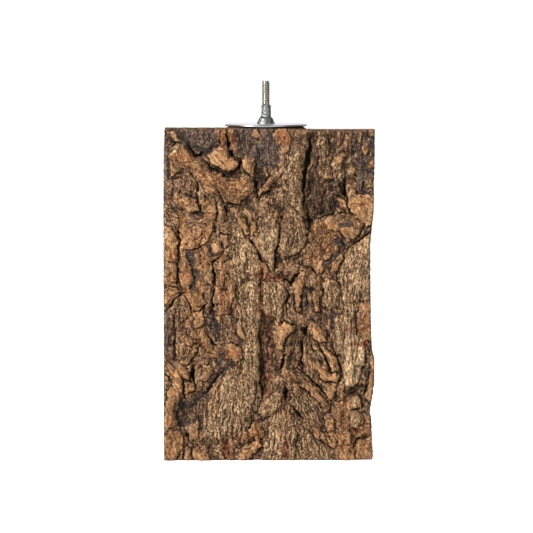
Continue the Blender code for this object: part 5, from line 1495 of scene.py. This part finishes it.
def add_fitting(name, rings, closed, finish, node):
    """A metal piece on the disc's axis, in place of its node."""
    mesh = ringed_mesh(name, rings, closed)
    mesh.shade_smooth()
    mesh.set_sharp_from_angle(angle=math.radians(40.0))
    mesh.materials.append(finish)
    obj = link(name, mesh)
    obj.location = (AXIS[0], AXIS[1], 0.0)
    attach(obj, "root")
    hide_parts(node)
    return obj


def build_disc(finish):
    """Pressed steel disc with a rolled edge."""
    radius = (DISC_HIGH.x - DISC_LOW.x) / 2.0
    hole = 3.3 * MM
    low = DISC_LOW.z
    high = DISC_HIGH.z
    middle = (low + high) / 2.0
    half = (high - low) / 2.0
    profile = [(hole, low), (radius * 0.5, low), (radius - half, low)]
    for step in range(1, 8):
        turn = math.pi * (step / 8.0 - 0.5)
        profile.append((radius - half + half * math.cos(turn), middle + half * math.sin(turn)))
    profile += [(radius - half, high), (radius * 0.8, high), (radius * 0.5, high), (hole, high)]
    rings = [([away] * 160, height) for away, height in profile]
    return add_fitting("disc", rings, True, finish, "washer_disc")


def lumpy(radius, turn, rise, most):
    """A weld radius with beads and grain, and a swollen right side above the foot, up to a limit."""
    bead = 0.5 * math.sin(4.0 * turn + 1.1 * rise) + 0.5 * math.sin(7.0 * turn - 1.7 * rise + 1.0)
    grain = float(noise(np.array([turn * 4.0]), np.array([rise]), 0.9, 97)[0])
    swell = (0.16 * bead + 0.16 * grain) * MM * min(1.0, rise + 0.3)
    swell += 0.6 * MM * max(0.0, math.cos(turn + 0.5)) ** 2 * min(1.0, max(0.0, rise - 5.0) / 3.0)
    return min(radius + swell, most)


def build_weld(finish):
    """Lumpy weld metal: a flared foot that runs out over the disc, then a collar up the stud."""
    low = WELD_LOW.z
    high = WELD_HIGH.z
    inner = 3.05 * MM
    outer = (WELD_HIGH.x - WELD_LOW.x) / 2.0 / 1.04
    heights, radii = zip(
        (0.0, outer), (0.6, outer), (1.4, outer - 0.5 * MM), (2.8, outer - 1.0 * MM),
        (4.2, outer - 1.6 * MM), (5.0, outer - 2.5 * MM), (5.6, 3.7 * MM), (6.6, 3.4 * MM),
        (9.0, 3.25 * MM), (12.0, 3.25 * MM), (13.4, 3.2 * MM), (14.0, 3.15 * MM))
    sides = 72
    steps = 56
    signed = [side if side <= sides // 2 else side - sides for side in range(sides)]
    turns = [2.0 * math.pi * side / sides for side in signed]
    rings = [([inner] * sides, low)]
    for step in range(steps + 1):
        height = low + (high - low) * step / steps
        radius = float(np.interp(heights[-1] * step / steps, heights, radii))
        grown = [lumpy(radius, turn, (height - low) / MM, outer * 1.035) for turn in turns]
        rings.append(([max(inner + 0.1 * MM, away) for away in grown], height))
    rings.append(([inner] * sides, high))
    return add_fitting("weld", rings, True, finish, "weld_fillet")


def build_stud(finish):
    """The stud with a fine thread above the weld; its hidden wood screw stays plain."""
    sides = 40
    steps = 10
    crest = 3.0 * MM
    root = crest - 0.55 * MM
    pitch = 1.0 * MM
    low = WELD_HIGH.z - 2.0 * MM
    top = BOLT_HIGH.z - 0.8 * MM
    turns = int((top - low) / pitch) - 1
    tip = BOLT_LOW.z
    shank = [(0.2 * MM, tip), (2.3 * MM, tip + 7.0 * MM), (2.6 * MM, low - 0.5 * MM)]
    rings = [([radius] * sides, height) for radius, height in shank]
    for row in range(turns * steps + 1):
        height = low + row * pitch / steps
        fade = min(1.0, (top - height) / (0.6 * MM))
        ring = []
        for side in range(sides):
            wave = 1.0 - abs(2.0 * ((row / steps - side / sides) % 1.0) - 1.0)
            radius = root + (crest - root) * min(1.0, 1.35 * wave)
            ring.append(min(radius, root + (crest - root) * (0.25 + 0.75 * fade)))
        rings.append((ring, height))
    rings.append(([root * 0.95] * sides, top))
    return add_fitting("stud", rings, False, finish, "hanger_bolt")


# The studio: a plain white, and the height in metres that the lights are turned to.
WHITE = (1.0, 1.0, 1.0, 1.0)
LIT_HEIGHT = 0.13


def build_floor():
    """White floor, which glows a little where the camera sees it."""
    mesh = bpy.data.meshes.new("floor")
    reach = 14.0
    corners = [(-reach, -reach, 0.0), (reach, -reach, 0.0), (reach, reach, 0.0), (-reach, reach, 0.0)]
    mesh.from_pydata(corners, [], [(0, 1, 2, 3)])
    floor = link("floor", mesh)
    n = Nodes("floor")
    n.shader.inputs["Base Color"].default_value = (0.9, 0.9, 0.9, 1.0)
    n.shader.inputs["Roughness"].default_value = 0.9
    n.shader.inputs["Emission Color"].default_value = WHITE
    seen = n.add("ShaderNodeLightPath").outputs["Is Camera Ray"]
    n.feed(n.shader.inputs["Emission Strength"], n.times(seen, 0.75))
    mesh.materials.append(n.material)


def build_world():
    """White surroundings: bright to the camera, soft as light, and darker to each side in mirrors."""
    world = bpy.data.worlds.new("studio")
    world.use_nodes = True
    bpy.context.scene.world = world
    n = Tree(world.node_tree)
    path = n.add("ShaderNodeLightPath").outputs
    direction = n.parts(n.add("ShaderNodeTexCoord").outputs["Generated"])
    room = n.spread(n.math("ABSOLUTE", direction["Y"]), 0.25, 0.95, 0.08, 1.05, curve="LINEAR")

    def glow(strength):
        return n.add("ShaderNodeBackground", {"Color": WHITE, "Strength": strength}).outputs["Background"]

    def chosen(test, first, second):
        return n.add("ShaderNodeMixShader", {"Fac": test, 1: first, 2: second}).outputs["Shader"]

    unseen = chosen(path["Is Glossy Ray"], glow(0.30), glow(room))
    surface = chosen(path["Is Camera Ray"], unseen, glow(1.1))
    n.feed(world.node_tree.nodes["World Output"].inputs["Surface"], surface)


def add_light(name, place, size, power):
    """An area light, size in metres and power in watts, turned to the slab's middle."""
    data = bpy.data.lights.new(name, "AREA")
    data.size = size
    data.energy = power
    light = bpy.data.objects.new(name, data)
    light.location = place
    aim = Vector((0.0, 0.0, LIT_HEIGHT)) - light.location
    light.rotation_euler = aim.to_track_quat("-Z", "Y").to_euler()
    bpy.context.scene.collection.objects.link(light)


def build_camera():
    """Far off, almost level with the slab's top, so that the face shows nearly square."""
    middle = Vector((-1.9, 0.0, 146.6)) * MM
    middle.y = SLAB_LOW.y
    height = 0.345
    distance = 2.6
    width_seen = 0.3967
    data = bpy.data.cameras.new("camera")
    data.sensor_width = 36.0
    data.lens = data.sensor_width * distance / width_seen
    data.clip_end = 50.0
    camera = bpy.data.objects.new("camera", data)
    camera.location = (middle.x, middle.y - distance, height)
    camera.rotation_euler = (middle - camera.location).to_track_quat("-Z", "Y").to_euler()
    bpy.context.scene.collection.objects.link(camera)
    bpy.context.scene.camera = camera


build_floor()
build_world()
add_light("key", (-1.15, -0.85, 1.05), 0.4, 36.0)
add_light("fill", (0.9, -1.3, 0.5), 0.9, 4.0)
build_camera()
build_bark(cork_material())
build_disc(disc_material())
build_weld(metal_material("weld metal", WELD_GREYS, roughness=(0.34, 0.6), waves=0.9, bump=0.6))
build_stud(metal_material("stud steel", STEEL_GREYS, roughness=(0.22, 0.38), waves=1.0, bump=0.1))
bpy.context.scene.view_settings.view_transform = "Standard"
